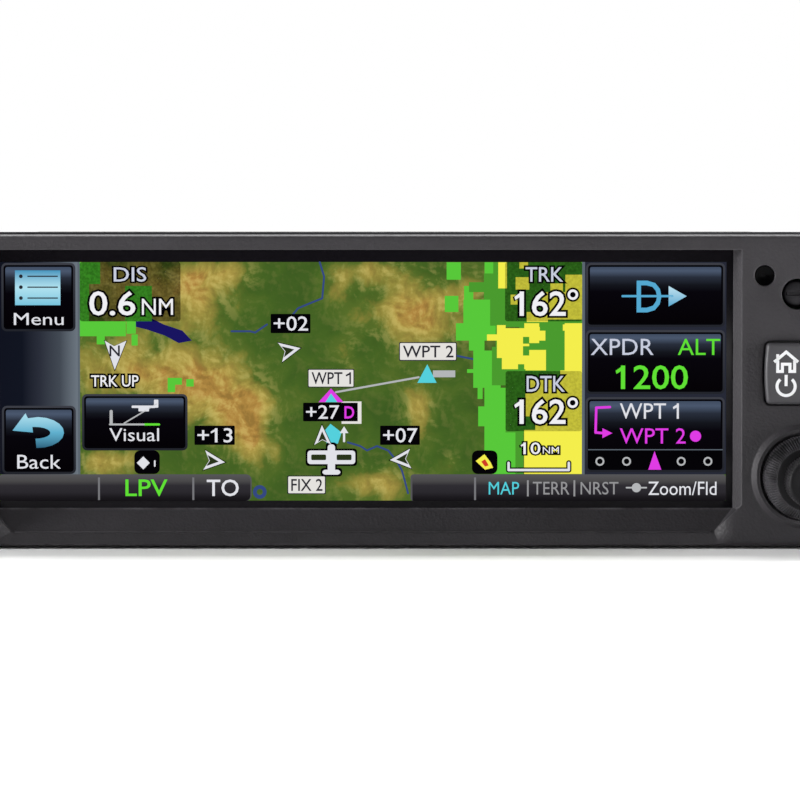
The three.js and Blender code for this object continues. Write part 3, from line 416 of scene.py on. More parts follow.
def extrude(bm, faces, shift):
    """Extrudes some faces and moves the grown side by a shift."""
    grown = bmesh.ops.extrude_face_region(bm, geom=faces)["geom"]
    far_side = [item for item in grown if isinstance(item, bmesh.types.BMVert)]
    bmesh.ops.translate(bm, vec=shift, verts=far_side)


def sharp_edges(bm, degrees=35):
    return [edge for edge in bm.edges if edge.is_manifold and edge.calc_face_angle(0) > math.radians(degrees)]


def round_edges(bm, edges, width, segments=2):
    """Rounds some edges of a bmesh by a small bevel."""
    bmesh.ops.bevel(bm, geom=edges, offset=width, offset_type="OFFSET", segments=segments, profile=0.5,
                    affect="EDGES", material=-1, clamp_overlap=True)


# %% [markdown]
# ## Front bezel
# The bezel is moulded, so no edge of it is truly sharp. The edges that meet its front plane, and the
# ridge under the display, get a small round that catches a line of light. The rest of the shape is
# already right in the fixed model, so a merged copy is rounded rather than modelled again.

# %% Bezel
RIDGE_HEIGHT = 2.8
RIDGE_SETBACK = 1.2
bezel = merged_copy("front_bezel")


def on_front_plane(edge):
    return all(abs(corner.co.y - column_y) < 0.01 for corner in edge.verts)


def on_ridge(edge):
    return all(abs(corner.co.z - RIDGE_HEIGHT) < 0.01 and abs(corner.co.y - column_y - RIDGE_SETBACK) < 0.01
               for corner in edge.verts)


front_edges = [edge for edge in sharp_edges(bezel, 25) if on_front_plane(edge)]
ridge_edges = [edge for edge in sharp_edges(bezel, 5) if on_ridge(edge)]
print("bezel edges to round:", len(front_edges), "and", len(ridge_edges))
ridge_ends = [corner.co.x for edge in ridge_edges for corner in edge.verts]
ridge_left, ridge_right = min(ridge_ends), max(ridge_ends)
round_edges(bezel, front_edges + ridge_edges, 0.2, 3)
show("bezel_shell", bezel, finish["bezel_paint"], "unit", ["front_bezel"], smooth=30)

# A low bead stands on the ridge and catches the light from above.
BEAD_RADIUS = 0.24
bead = bmesh.new()
bmesh.ops.create_cone(bead, cap_ends=True, segments=16, radius1=BEAD_RADIUS, radius2=BEAD_RADIUS,
                      depth=ridge_right - ridge_left - 1,
                      matrix=Matrix.Rotation(math.radians(90), 4, "Y"))
bmesh.ops.translate(bead, vec=((ridge_left + ridge_right) / 2, column_y + RIDGE_SETBACK + 0.06, RIDGE_HEIGHT),
                    verts=bead.verts)
show("ridge_bead", bead, finish["bezel_paint"], "unit")

# %% [markdown]
# ## Display
# A bonded display shows its picture right at the front of the glass. The picture here is built in thin
# layers on the glass: the map, the weather on it, the buttons and bars, and then symbols and lettering.
# Each layer is a hundredth of a millimetre or two thick, so it never shows from the side. Pieces of one
# colour are joined into one object, and they glow with their own light, as a lit display does.

# %% Glass
glass_low, glass_high = where("display_glass")
glass = merged_copy("display_glass")
round_edges(glass, sharp_edges(glass), 0.15, 2)
glass_black, tree, shader, place = start_material("bonded_glass")
smears = add_node(tree, "ShaderNodeTexNoise", {"Vector": place, "Scale": 40.0, "Detail": 3.0})
tree.links.new(spread(tree, smears.outputs["Fac"], 0.3, 0.7, 0.16, 0.24), shader.inputs["Roughness"])
tree.links.new(blend_colours(tree, smears.outputs["Fac"], tone(16, 14, 18), tone(20, 18, 22)),
               shader.inputs["Base Color"])
shader.inputs["Specular IOR Level"].default_value = 0.1
show("bordered_glass", glass, glass_black, "unit", ["display_glass"])

# %% The lit area and its layers
LIT_RIGHT = 53.67  # the lit area's right edge; its left edge is hidden by the bezel's side wall
DRAWING_SCALE = 0.998  # the picture is drawn a little larger than it is lit
LIT_WIDTH = 116.9
LIT_HEIGHT = 38.45
LIT_BASE = 7.66  # height of the lit area's lower edge
LAYER_STEP = 0.03
LAYER_BODY = 0.018
UPRIGHT = Matrix.Rotation(math.radians(90), 3, "X")
lit_left = LIT_RIGHT - LIT_WIDTH * DRAWING_SCALE
layers = ["map", "weather", "shade", "panel", "trim", "face", "symbol", "outline", "ink"]
layer_y = {name: glass_low.y - LAYER_STEP * (number + 1) for number, name in enumerate(layers)}
ink = {}  # one bmesh for each colour
print("lit area from", round(lit_left, 2), "to", LIT_RIGHT, "and layers:", len(layers))


def ink_for(colour):
    """The bmesh that gathers everything of one colour, with the share of the way up each plate."""
    if colour not in ink:
        ink[colour] = bmesh.new()
        ink[colour].verts.layers.float.new("climb")
    return ink[colour]


def lay_flat(colour, layer, part, climb=None):
    """Thickens a flat bmesh drawn in X-Y, stands it on the lit area and gathers it under its colour."""
    extrude(part, part.faces[:], (0, 0, LAYER_BODY))
    bmesh.ops.recalc_face_normals(part, faces=part.faces)
    gather(colour, layer, part, climb)


def gather(colour, layer, part, climb=None):
    """Stands a solid drawn in X-Y upright on the lit area and adds it to its colour's bmesh."""
    shares = part.verts.layers.float.get("climb") or part.verts.layers.float.new("climb")
    if climb:
        along, start, end = climb
        for corner in part.verts:
            corner[shares] = (corner.co[along] - start) / (end - start)
    bmesh.ops.scale(part, vec=(DRAWING_SCALE, DRAWING_SCALE, 1), verts=part.verts)
    bmesh.ops.rotate(part, cent=(0, 0, 0), matrix=UPRIGHT, verts=part.verts)
    bmesh.ops.translate(part, vec=(lit_left, layer_y[layer], LIT_BASE), verts=part.verts)
    join(ink_for(colour), part)


# %% Drawing plates, outlines and strokes on the lit area
def plate(colour, layer, left, bottom, right, top, corner=0.0, across=False):
    """A thin rectangle between two corners, with rounded corners if asked."""
    part = bmesh.new()
    bmesh.ops.create_grid(part, x_segments=1, y_segments=1, size=0.5)
    bmesh.ops.scale(part, vec=(right - left, top - bottom, 1), verts=part.verts)
    bmesh.ops.translate(part, vec=((left + right) / 2, (bottom + top) / 2, 0), verts=part.verts)
    if corner:
        bmesh.ops.bevel(part, geom=part.verts[:], offset=corner, segments=4, profile=0.5, affect="VERTICES",
                        material=-1)
    lay_flat(colour, layer, part, (0, left, right) if across else (1, bottom, top))


def shape(colour, layer, points, grow=0.0):
    """A thin polygon, grown outwards from its middle if asked."""
    part = bmesh.new()
    centre = sum((Vector((*point, 0)) for point in points), Vector()) / len(points)
    reach = max((Vector((*point, 0)) - centre).length for point in points)
    growth = 1 + grow / reach
    corners = [part.verts.new(centre + (Vector((*point, 0)) - centre) * growth) for point in points]
    part.faces.new(corners)
    bmesh.ops.recalc_face_normals(part, faces=part.faces)
    lay_flat(colour, layer, part, (1, min(point[1] for point in points), max(point[1] for point in points)))


def disc(colour, layer, centre, radius, hole=0.0):
    """A thin disc or ring."""
    part = bmesh.new()
    rim = bmesh.ops.create_circle(part, segments=24, radius=radius, cap_ends=not hole)["verts"]
    if hole:
        inner = bmesh.ops.create_circle(part, segments=24, radius=hole)["verts"]
        edges = [edge for corner in rim + inner for edge in corner.link_edges]
        bmesh.ops.bridge_loops(part, edges=list(dict.fromkeys(edges)))
    bmesh.ops.translate(part, vec=(*centre, 0), verts=part.verts)
    lay_flat(colour, layer, part)


def stroke(colour, layer, points, width):
    """A line with round joints through some points."""
    for start, end in zip(points, points[1:]):
        run = Vector(end) - Vector(start)
        part = bmesh.new()
        bmesh.ops.create_grid(part, x_segments=1, y_segments=1, size=0.5)
        bmesh.ops.scale(part, vec=(run.length, width, 1), verts=part.verts)
        bmesh.ops.rotate(part, cent=(0, 0, 0), verts=part.verts,
                         matrix=Matrix.Rotation(math.atan2(run.y, run.x), 3, "Z"))
        centre = (Vector(start) + Vector(end)) / 2
        bmesh.ops.translate(part, vec=(centre.x, centre.y, 0), verts=part.verts)
        lay_flat(colour, layer, part)
    for point in points:
        disc(colour, layer, point, width / 2)


# %% Lettering
def letter_mesh(text, weight):
    """A text's mesh, drawn at size 1 with its strokes widened by weight."""
    curve = bpy.data.curves.new("lettering", "FONT")
    curve.body, curve.offset, curve.resolution_u = text, weight, 3
    carrier = bpy.data.objects.new("lettering", curve)
    scene.collection.objects.link(carrier)
    mesh = bpy.data.meshes.new_from_object(carrier.evaluated_get(bpy.context.evaluated_depsgraph_get()))
    bpy.data.objects.remove(carrier)
    bpy.data.curves.remove(curve)
    return mesh


def words(text, colour, left, bottom, right, top, weight=0.0, outline=0.0, outline_colour="black"):
    """Generic lettering that fills a rectangle, with a dark outline of some millimetres if asked."""
    plain = letter_mesh(text, 0)
    spots = [corner.co for corner in plain.vertices]
    low = Vector((min(spot.x for spot in spots), min(spot.y for spot in spots)))
    high = Vector((max(spot.x for spot in spots), max(spot.y for spot in spots)))
    bpy.data.meshes.remove(plain)
    stretch = Vector(((right - left) / (high.x - low.x), (top - bottom) / (high.y - low.y), 1))
    size = (stretch.x + stretch.y) / 2
    coats = [(colour, "ink", weight / size)]
    if outline:
        coats.append((outline_colour, "outline", (weight + outline) / size))
    for coat, layer, extra in coats:
        mesh = letter_mesh(text, extra)
        part = bmesh.new()
        part.from_mesh(mesh)
        bpy.data.meshes.remove(mesh)
        bmesh.ops.remove_doubles(part, verts=part.verts, dist=0.0001)
        bmesh.ops.translate(part, vec=(-low.x, -low.y, 0), verts=part.verts)
        bmesh.ops.scale(part, vec=stretch, verts=part.verts)
        bmesh.ops.translate(part, vec=(left, bottom, 0), verts=part.verts)
        lay_flat(coat, layer, part)


# %% [markdown]
# ### Map
# The map is shaded terrain: green low ground, tan hills, and relief that looks lit from one side. The
# hills are a few soft ellipses, stored as an attribute on a fine grid, and noise breaks up their edges.
# Relief comes from comparing the same noise at two nearby places, as hill shading does.

# %% Terrain
hills = [  # across, up, half width, half height, strength
    (32.0, 33.6, 5.0, 5.4, 0.9), (38.0, 36.6, 3.4, 2.6, 0.6), (20.1, 21.0, 9.0, 4.4, 1.1),
    (33.0, 18.6, 7.4, 6.6, 1.1), (38.6, 12.2, 4.4, 4.4, 0.9), (17.0, 6.2, 5.0, 2.6, 0.9),
    (40.6, 8.6, 2.0, 3.2, 0.7), (60.4, 36.8, 5.2, 2.4, 0.8), (67.3, 30.3, 7.8, 5.6, 1.15),
    (54.6, 35.0, 1.8, 2.8, 0.6), (55.9, 23.3, 1.6, 2.8, 0.5), (67.5, 14.7, 2.6, 4.4, 0.85),
    (40.7, 15.4, 3.2, 3.6, 0.9), (60.7, 2.8, 6.0, 2.6, 0.8), (72.5, 6.2, 1.6, 1.4, 0.5),
    (44.4, 7.3, 1.6, 2.2, 0.5), (21.0, 34.0, 9.5, 5.5, 1.0), (76.5, 34.0, 3.0, 3.0, 0.6),
]
GRID_ACROSS, GRID_UP = 160, 54
terrain = bmesh.new()
bmesh.ops.create_grid(terrain, x_segments=GRID_ACROSS, y_segments=GRID_UP, size=0.5)
bmesh.ops.scale(terrain, vec=(LIT_WIDTH, LIT_HEIGHT, 1), verts=terrain.verts)
bmesh.ops.translate(terrain, vec=(LIT_WIDTH / 2, LIT_HEIGHT / 2, 0), verts=terrain.verts)
high_ground = terrain.verts.layers.float.new("high_ground")
for corner in terrain.verts:
    total = 0
    for across, up, half_width, half_height, power in hills:
        off = ((corner.co.x - across) / half_width) ** 2 + ((corner.co.y - up) / half_height) ** 2
        total += power * math.exp(-off)
    corner[high_ground] = total
extrude(terrain, terrain.faces[:], (0, 0, LAYER_BODY))
bmesh.ops.scale(terrain, vec=(DRAWING_SCALE, DRAWING_SCALE, 1), verts=terrain.verts)
bmesh.ops.rotate(terrain, cent=(0, 0, 0), matrix=UPRIGHT, verts=terrain.verts)
bmesh.ops.translate(terrain, vec=(lit_left, layer_y["map"], LIT_BASE), verts=terrain.verts)
print("terrain faces:", len(terrain.faces), "hills:", len(hills))

# %% Terrain colours and relief
relief, relief_in, relief_out = new_group(
    "hill_shading", {"Place": None, "Size": 210.0, "Slant": 0.0005}, ["Light", "Height"])
relief_shift = add_node(relief, "ShaderNodeCombineXYZ", {"X": relief_in["Slant"], "Z": relief_in["Slant"]})
relief_aside = add_node(relief, "ShaderNodeVectorMath", {
    0: relief_in["Place"], 1: relief_shift.outputs[0]}, operation="ADD")
heights = []
for spot in (relief_in["Place"], relief_aside.outputs[0]):
    noise = add_node(relief, "ShaderNodeTexNoise", {
        "Vector": spot, "Scale": relief_in["Size"], "Detail": 6.0, "Roughness": 0.6, "Distortion": 0.3})
    heights.append(noise.outputs["Fac"])
relief.links.new(spread(relief, calculate(relief, "SUBTRACT", heights[1], heights[0]), -0.09, 0.09),
                 relief_out.inputs["Light"])
relief.links.new(heights[0], relief_out.inputs["Height"])


def lit(name):
    """A material that only glows: start of every part of the picture."""
    material, tree, shader, place = start_material(name)
    shader.inputs["Base Color"].default_value = (0, 0, 0, 1)
    shader.inputs["Roughness"].default_value = 0.25
    shader.inputs["Specular IOR Level"].default_value = 0.004
    shader.inputs["Emission Strength"].default_value = 1.0
    return material, tree, shader, place


def colour_ramp(tree, value, stops):
    """A ramp through the given (position, colour) stops."""
    made = add_node(tree, "ShaderNodeValToRGB", {"Fac": value})
    ramp = made.color_ramp
    ramp.elements[0].position, ramp.elements[0].color = stops[0]
    ramp.elements[1].position, ramp.elements[1].color = stops[-1]
    for position, colour in stops[1:-1]:
        ramp.elements.new(position).color = colour
    return made.outputs["Color"]


map_paint, tree, shader, place = lit("map_terrain")
hill_map = add_node(tree, "ShaderNodeAttribute", attribute_name="high_ground")
hill_light = use_group(tree, relief, {"Place": place})
height = calculate(tree, "ADD", hill_map.outputs["Fac"], spread(
    tree, hill_light.outputs["Height"], 0.3, 0.7, -0.35, 0.35))
ground = colour_ramp(tree, spread(tree, height, -0.2, 1.3), [
    (0.0, tone(62, 92, 34)), (0.2, tone(70, 100, 36)), (0.4, tone(88, 110, 42)),
    (0.56, tone(142, 136, 60)), (0.8, tone(172, 152, 72)), (1.0, tone(176, 136, 66))])
sunlit = blend_colours(tree, 0.55, ground, tone(232, 212, 124))
shaded = blend_colours(tree, 0.5, ground, tone(20, 34, 8))
depth = calculate(tree, "MULTIPLY", spread(tree, hill_map.outputs["Fac"], 0.0, 0.8, 0.07, 0.6),
                  calculate(tree, "SUBTRACT", hill_light.outputs["Light"], 0.5))
bright_side = spread(tree, depth, 0.0, 0.5)
dark_side = spread(tree, depth, 0.0, -0.5)
relief_colour = blend_colours(tree, dark_side, blend_colours(tree, bright_side, ground, sunlit), shaded)
tree.links.new(relief_colour, shader.inputs["Emission Color"])
show("display_map", terrain, map_paint, "unit")
print("group:", relief.name)

# %% Water
rivers = [
    [(51.5, 38.4), (52.2, 36.1), (51.9, 32.6), (49.9, 31.8), (48.0, 31.0), (46.5, 29.2)],
    [(43.0, 28.4), (41.1, 27.1), (40.3, 27.3), (37.3, 27.3)],
    [(56.0, 9.4), (58.0, 8.8), (59.1, 8.1), (60.7, 8.8), (62.5, 8.1), (63.8, 6.5), (64.7, 4.9), (65.2, 3.1),
     (65.7, 1.2)],
    [(73.3, 23.4), (76.3, 22.8)],
]
for course in rivers:
    stroke("river", "weather", course, 0.3)
lake = [(21.4, 29.6), (23.4, 29.9), (26.4, 28.4), (29.4, 27.4), (30.9, 25.8), (28.8, 25.4), (26.6, 26.6),
        (23.6, 27.6), (21.2, 28.2)]
shape("lake", "weather", lake)
disc("river", "weather", (41.8, 1.4), 1.1, 0.5)
print("rivers:", len(rivers))

# %% [markdown]
# ### Weather
# Weather from a radar comes in square cells, so its picture is a set of rectangles on one pitch: light
# green for the edge of the rain, mid green inside it, and yellow where it is heavy. Later rectangles lie
# over earlier ones, so each colour has a layer of its own.

# %% Radar cells
weather_rows = {  # left, bottom, right, top
    "rain_edge": [
        (71.9, 35.6, 74.2, 38.4), (71.6, 30.4, 73.8, 33.0), (78.0, 36.2, 80.6, 38.4),
        (74.7, 32.4, 76.2, 34.6), (74.6, 28.6, 81.5, 32.4), (73.4, 25.8, 80.0, 28.6),
        (75.5, 24.2, 78.0, 25.8), (76.2, 18.2, 80.6, 24.2), (75.2, 20.6, 76.2, 21.2),
        (76.9, 16.4, 77.7, 18.2), (77.0, 12.0, 78.4, 15.2), (78.0, 4.3, 84.2, 18.2),
        (12.9, 26.5, 20.3, 28.9), (15.6, 25.2, 16.9, 26.5), (20.4, 26.9, 21.9, 28.9),
        (21.2, 25.0, 22.2, 26.8), (27.0, 17.5, 28.2, 19.8), (28.2, 18.7, 29.3, 19.8),
        (30.0, 18.4, 31.2, 19.6), (12.9, 34.9, 16.2, 38.4), (12.9, 28.9, 14.4, 34.9),
        (20.2, 28.9, 24.5, 34.6),
    ],
    "rain": [
        (75.5, 33.6, 78.0, 35.2), (77.9, 32.4, 81.8, 36.6), (79.4, 36.6, 81.8, 38.4),
        (78.9, 28.2, 81.4, 33.0), (79.2, 18.6, 81.4, 24.8), (81.2, 28.0, 93.7, 38.4),
        (81.4, 11.0, 93.7, 21.2), (83.0, 4.3, 84.3, 11.6), (79.8, 24.6, 81.4, 28.4),
        (83.6, 21.0, 93.7, 28.6),
    ],
    "heavy_rain": [
        (80.2, 34.2, 81.6, 38.4), (82.2, 31.6, 84.2, 33.2), (83.6, 37.4, 85.0, 38.4),
        (84.8, 28.8, 88.2, 30.4), (78.4, 25.8, 80.3, 26.8), (80.0, 23.0, 81.4, 28.3),
        (80.8, 21.2, 85.6, 27.8), (84.4, 24.6, 86.8, 28.6), (86.4, 25.8, 87.8, 28.0),
        (84.6, 21.0, 87.9, 25.0), (90.9, 21.0, 93.7, 28.6), (90.2, 25.8, 91.0, 28.4),
        (83.0, 34.0, 85.2, 36.0), (87.2, 29.2, 93.7, 33.6), (88.6, 33.6, 90.6, 35.0),
        (91.0, 33.6, 93.7, 36.4), (84.6, 13.6, 93.7, 19.6), (86.2, 11.0, 93.7, 13.6),
        (90.2, 19.6, 93.7, 21.0), (84.4, 4.3, 93.7, 11.4),
    ],
    "rain_gaps": [
        (84.2, 25.3, 85.2, 26.4), (84.2, 23.4, 85.2, 24.9), (85.2, 24.3, 90.8, 25.4),
        (86.9, 27.4, 90.6, 28.6), (88.0, 21.0, 90.9, 27.4), (83.4, 21.0, 84.4, 22.0),
    ],
}
for step, (kind, cells) in enumerate(weather_rows.items()):
    layer_y[kind] = layer_y["weather"] - LAYER_STEP * (step + 1) / 6
    for cell in cells:
        plate("rain" if kind == "rain_gaps" else kind, kind, *cell)
print("radar cells:", sum(len(cells) for cells in weather_rows.values()))

# %% [markdown]
# ### Bars and buttons
# Every button is one recipe: a thin grey frame, a black gap, and a face that is blue-grey at its top and
# fades to black. The shading isn't painted by eye: each plate stores how far up it a point is, and a
# colour ramp reads that.

# %% Buttons, side strips and the status bar
GAP_CORNER = 0.5


def button(left, bottom, right, top):
    plate("button_frame", "panel", left, bottom, right, top, 0.8)
    plate("black", "trim", left + 0.35, bottom + 0.35, right - 0.35, top - 0.35, GAP_CORNER)
    plate("button_face", "face", left + 0.65, bottom + 0.65, right - 0.65, top - 0.65, 0.3)


STRIP_LEFT, STRIP_RIGHT = 12.9, 93.7
BAR_TOP = 4.25
layer_y["strip"] = layer_y["shade"]
plate("left_strip", "strip", 0, BAR_TOP, STRIP_LEFT, LIT_HEIGHT, across=True)
plate("strip_edge", "panel", STRIP_LEFT - 0.35, BAR_TOP, STRIP_LEFT, LIT_HEIGHT)
plate("right_strip", "strip", STRIP_RIGHT, BAR_TOP, LIT_WIDTH, LIT_HEIGHT)
plate("strip_edge", "panel", STRIP_RIGHT, BAR_TOP, STRIP_RIGHT + 0.45, LIT_HEIGHT)
buttons = {
    "menu": (0.3, 27.3, 12.2, 38.3), "back": (0.3, 4.3, 12.2, 15.3), "approach": (13.2, 8.1, 30.2, 17.2),
    "direct": (94.3, 28.0, 116.7, 38.3), "transponder": (94.3, 17.2, 116.7, 27.5),
    "guidance": (94.3, 4.6, 116.7, 16.7),
}
for edges in buttons.values():
    button(*edges)
plate("strip_edge", "symbol", 94.7, 8.15, 116.4, 8.3)
plate("black", "symbol", 95.0, 5.2, 116.1, 8.1, 0.2)

plate("bar_edge", "panel", -0.4, -0.05, 40.5, BAR_TOP, 0.9)
plate("bar_face", "trim", -0.4, -0.05, 40.3, BAR_TOP - 0.25, 0.8)
plate("bar_edge", "panel", 66.1, -0.05, LIT_WIDTH, BAR_TOP, 0.5)
plate("bar_face", "trim", 66.4, -0.05, LIT_WIDTH, BAR_TOP - 0.25, 0.2)
for divider in (15.9, 31.1, 76.5):
    plate("bar_divider", "symbol", divider - 0.16, 0.1, divider + 0.16, BAR_TOP - 0.5)
for left, bottom, right, top in ((12.9, 28.9, 29.1, LIT_HEIGHT), (81.3, 28.9, 93.7, LIT_HEIGHT),
                                 (81.4, 11.2, 93.7, 20.9)):
    plate("field_shade", "shade", left, bottom, right, top, 0.4)
print("buttons:", len(buttons))

# %% Lettering on the buttons and the bar
def flag(colour, stem_left, top, size, outlined=True):
    """The slanted stroke at the top left of a figure one, whose stem the built-in letters draw bare."""
    points = [(stem_left + 0.3, top), (stem_left - 0.9 * size, top - 0.85 * size),
              (stem_left - 0.75 * size, top - 1.35 * size), (stem_left + 0.3, top - 0.7 * size)]
    if outlined:
        shape("black", "outline", points, 0.38)
    shape(colour, "ink", points)


words("Menu", "label_white", 2.3, 28.3, 10.3, 30.25)
words("Back", "label_white", 2.75, 5.15, 9.8, 7.4)
words("Visual", "label_white", 17.6, 9.6, 25.6, 11.7)
words("LPV", "green_ink", 20.2, 0.75, 26.9, 3.4, 0.03)
words("TO", "label_white", 33.3, 0.75, 38.4, 3.4, 0.03)
words("MAP", "cyan_ink", 78.7, 1.0, 83.6, 3.05)
words("TERR", "dim_ink", 85.8, 1.0, 91.7, 3.05)
words("NRST", "dim_ink", 93.5, 1.0, 99.6, 3.05)
words("Zoom/Fld", "label_white", 104.4, 0.9, 115.4, 3.1)
for divider in (85.0, 92.5):
    plate("dim_ink", "ink", divider - 0.14, 0.7, divider + 0.14, 3.3)
words("DIS", "field_label", 18.4, 35.3, 23.6, 37.6, 0.02, 0.28)
words("0.6", "field_value", 14.5, 29.9, 21.8, 33.7, 0.06, 0.34)
words("NM", "field_value", 22.9, 29.95, 27.9, 32.55, 0, 0.3)
words("TRK", "field_label", 84.6, 35.3, 90.6, 37.6, 0.02, 0.28)
words("162", "field_value", 83.7, 29.8, 91.0, 33.7, 0.06, 0.34)
flag("field_value", 83.7, 33.7, 1.0)
words("DTK", "field_label", 84.8, 17.6, 90.9, 20.1, 0.02, 0.28)
words("162", "field_value", 83.7, 12.4, 91.0, 16.3, 0.06, 0.34)
flag("field_value", 83.7, 16.3, 1.0)
for height in (33.2, 15.8):
    disc("black", "outline", (92.2, height), 1.15)
    disc("field_value", "ink", (92.2, height), 0.85, 0.45)
words("TRK UP", "field_value", 14.7, 18.4, 22.3, 20.2, 0.02, 0.28)
words("10", "field_value", 84.3, 7.5, 87.0, 9.4, 0.02, 0.26)
flag("field_value", 84.3, 9.4, 0.5)
words("NM", "field_value", 87.4, 7.6, 90.0, 8.7, 0, 0.26)
words("XPDR", "field_label", 95.1, 23.5, 105.2, 26.1)
words("ALT", "green_ink", 109.1, 23.5, 115.9, 26.1)
words("1200", "green_ink", 100.0, 18.0, 110.7, 21.8, 0.04)
flag("green_ink", 100.0, 21.8, 1.0, False)
words("WPT 1", "label_white", 99.8, 13.2, 109.3, 15.7)
words("WPT 2", "magenta_ink", 99.8, 9.2, 110.4, 11.7)
print("colours so far:", len(ink))

# %% Marks on the map
def tagged(text, left, bottom, right, top, dark=True):
    """Lettering on a small box: white on black for traffic heights, dark on white for waypoints."""
    back, front = ("black", "label_white") if dark else ("tag_white", "tag_ink")
    if not dark:
        plate("tag_ink", "panel", left - 0.15, bottom - 0.15, right + 0.15, top + 0.15, 0.2)
    plate(back, "trim", left, bottom, right, top, 0.15)
    words(text, front, left + 0.5, bottom + 0.4, right - 0.4, top - 0.4, 0.02)


def outlined(points, colour="label_white", inside="arrow_hollow", hollow=0.55):
    """A traffic arrow or other map symbol: dark rim, bright line and a dark middle."""
    shape("black", "symbol", points, 0.28)
    shape(colour, "outline", points)
    if hollow:
        shape(inside, "ink", points, -hollow)


def arrowhead(centre, heading, length=3.2, width=3.2):
    """A notched arrowhead that points along a heading, in degrees from the right."""
    turn = Matrix.Rotation(math.radians(heading), 2)
    outline = [(length * 0.6, 0), (-length * 0.45, width * 0.5), (-length * 0.2, 0),
               (-length * 0.45, -width * 0.5)]
    outlined([tuple(turn @ Vector(point) + Vector(centre)) for point in outline], hollow=1.0)


tagged("+13", 31.3, 9.0, 37.8, 12.1)
tagged("+02", 43.6, 27.0, 50.0, 30.1)
tagged("+07", 61.2, 9.0, 67.6, 12.1)
tagged("+27", 48.8, 12.8, 55.0, 15.8)
arrowhead((34.3, 6.4), -6)
arrowhead((46.5, 24.2), 12)
arrowhead((64.7, 6.7), 184)
arrowhead((51.9, 10.4), 92, 3.0, 2.7)
tagged("WPT 1", 49.7, 18.4, 56.9, 21.1, False)
tagged("WPT 2", 64.4, 22.7, 73.4, 25.4, False)
tagged("FIX 2", 46.4, 1.2, 52.3, 3.9, False)
flag("label_white", 34.4, 11.6, 0.55, False)
flag("tag_ink", 56.1, 20.7, 0.5, False)
flag("label_white", 108.95, 15.7, 0.7, False)
plate("tag_white", "panel", 55.0, 12.4, 58.2, 16.0)
plate("black", "trim", 55.0, 12.8, 57.6, 15.8)
words("D", "magenta_ink", 55.5, 13.3, 57.0, 15.2, 0.04)
stroke("label_grey", "panel", [(54.1, 17.5), (67.4, 19.9)], 0.32)
shape("cyan_ink", "symbol", [(67.2, 19.0), (70.3, 19.0), (68.8, 22.0)])
plate("label_grey", "panel", 69.7, 19.9, 73.3, 21.0)
shape("magenta_ink", "symbol", [(51.3, 15.9), (55.3, 15.9), (53.3, 18.1)])
shape("cyan_ink", "outline", [(52.4, 15.9), (54.3, 15.9), (53.3, 17.3)])
print("traffic and waypoints drawn")

# %% Own aircraft, north arrow, scale bar and tabs
def aircraft(colour, layer, grow):
    """The wing, the body and the tail of the own aircraft's symbol."""
    plates = ((49.5, 5.9, 57.2, 8.1), (52.75, 4.2, 53.95, 9.1), (51.9, 4.2, 54.8, 5.0))
    for left, bottom, right, top in plates:
        plate(colour, layer, left - grow, bottom - grow, right + grow, top + grow, 0.5)


aircraft("black", "symbol", 0.3)
aircraft("label_white", "outline", 0.0)
plate("arrow_hollow", "ink", 50.1, 6.55, 52.5, 7.45, 0.2)
plate("arrow_hollow", "ink", 54.2, 6.55, 56.6, 7.45, 0.2)
shape("cyan_ink", "panel", [(52.6, 9.2), (54.4, 9.2), (55.0, 11.0), (53.2, 12.4), (52.2, 11.2)])
stroke("label_white", "symbol", [(55.4, 9.6), (55.4, 11.4)], 0.35)
shape("label_white", "symbol", [(54.7, 10.9), (56.1, 10.9), (55.4, 12.0)])
north = [(16.9, 25.8), (18.4, 24.9), (20.4, 25.8), (18.5, 21.1)]
shape("black", "symbol", north, 0.3)
shape("label_white", "outline", north)
words("N", "tag_ink", 17.7, 23.3, 19.3, 25.0, 0.03)
for colour, layer, width in (("black", "symbol", 0.85), ("label_white", "outline", 0.4)):
    stroke(colour, layer, [(81.9, 6.1), (81.9, 4.95), (91.6, 4.95), (91.6, 6.1)], width)
plate("black", "panel", 21.6, 4.3, 25.7, 8.1, 0.9)
shape("label_white", "symbol", [(22.0, 6.1), (23.05, 7.15), (24.1, 6.1), (23.05, 5.05)])
stroke("label_white", "symbol", [(24.9, 5.6), (24.9, 6.4)], 0.25)
plate("black", "panel", 76.0, 4.3, 80.1, 8.1, 0.9)
shape("heavy_rain", "symbol", [(76.6, 6.4), (78.0, 7.5), (79.0, 6.2), (79.4, 5.3), (78.1, 5.0)])
shape("warning_red", "outline", [(77.5, 6.3), (78.1, 6.7), (78.7, 5.7), (78.1, 5.5)])
print("aircraft, north arrow and tabs drawn")

# %% Button pictures
plate("menu_picture", "symbol", 2.5, 31.5, 9.8, 37.1)
for row in (32.65, 34.4, 36.15):
    plate("tag_ink", "ink", 4.5, row - 0.1, 9.4, row + 0.1)
    disc("tag_ink", "ink", (3.45, row), 0.3)


def arc(centre_x, centre_y, reach_x, reach_y, start, end, steps=10):
    """Points along part of an ellipse, from one angle to another in degrees."""
    turns = [math.radians(start + (end - start) * step / steps) for step in range(steps + 1)]
    return [(centre_x + reach_x * math.cos(turn), centre_y + reach_y * math.sin(turn)) for turn in turns]


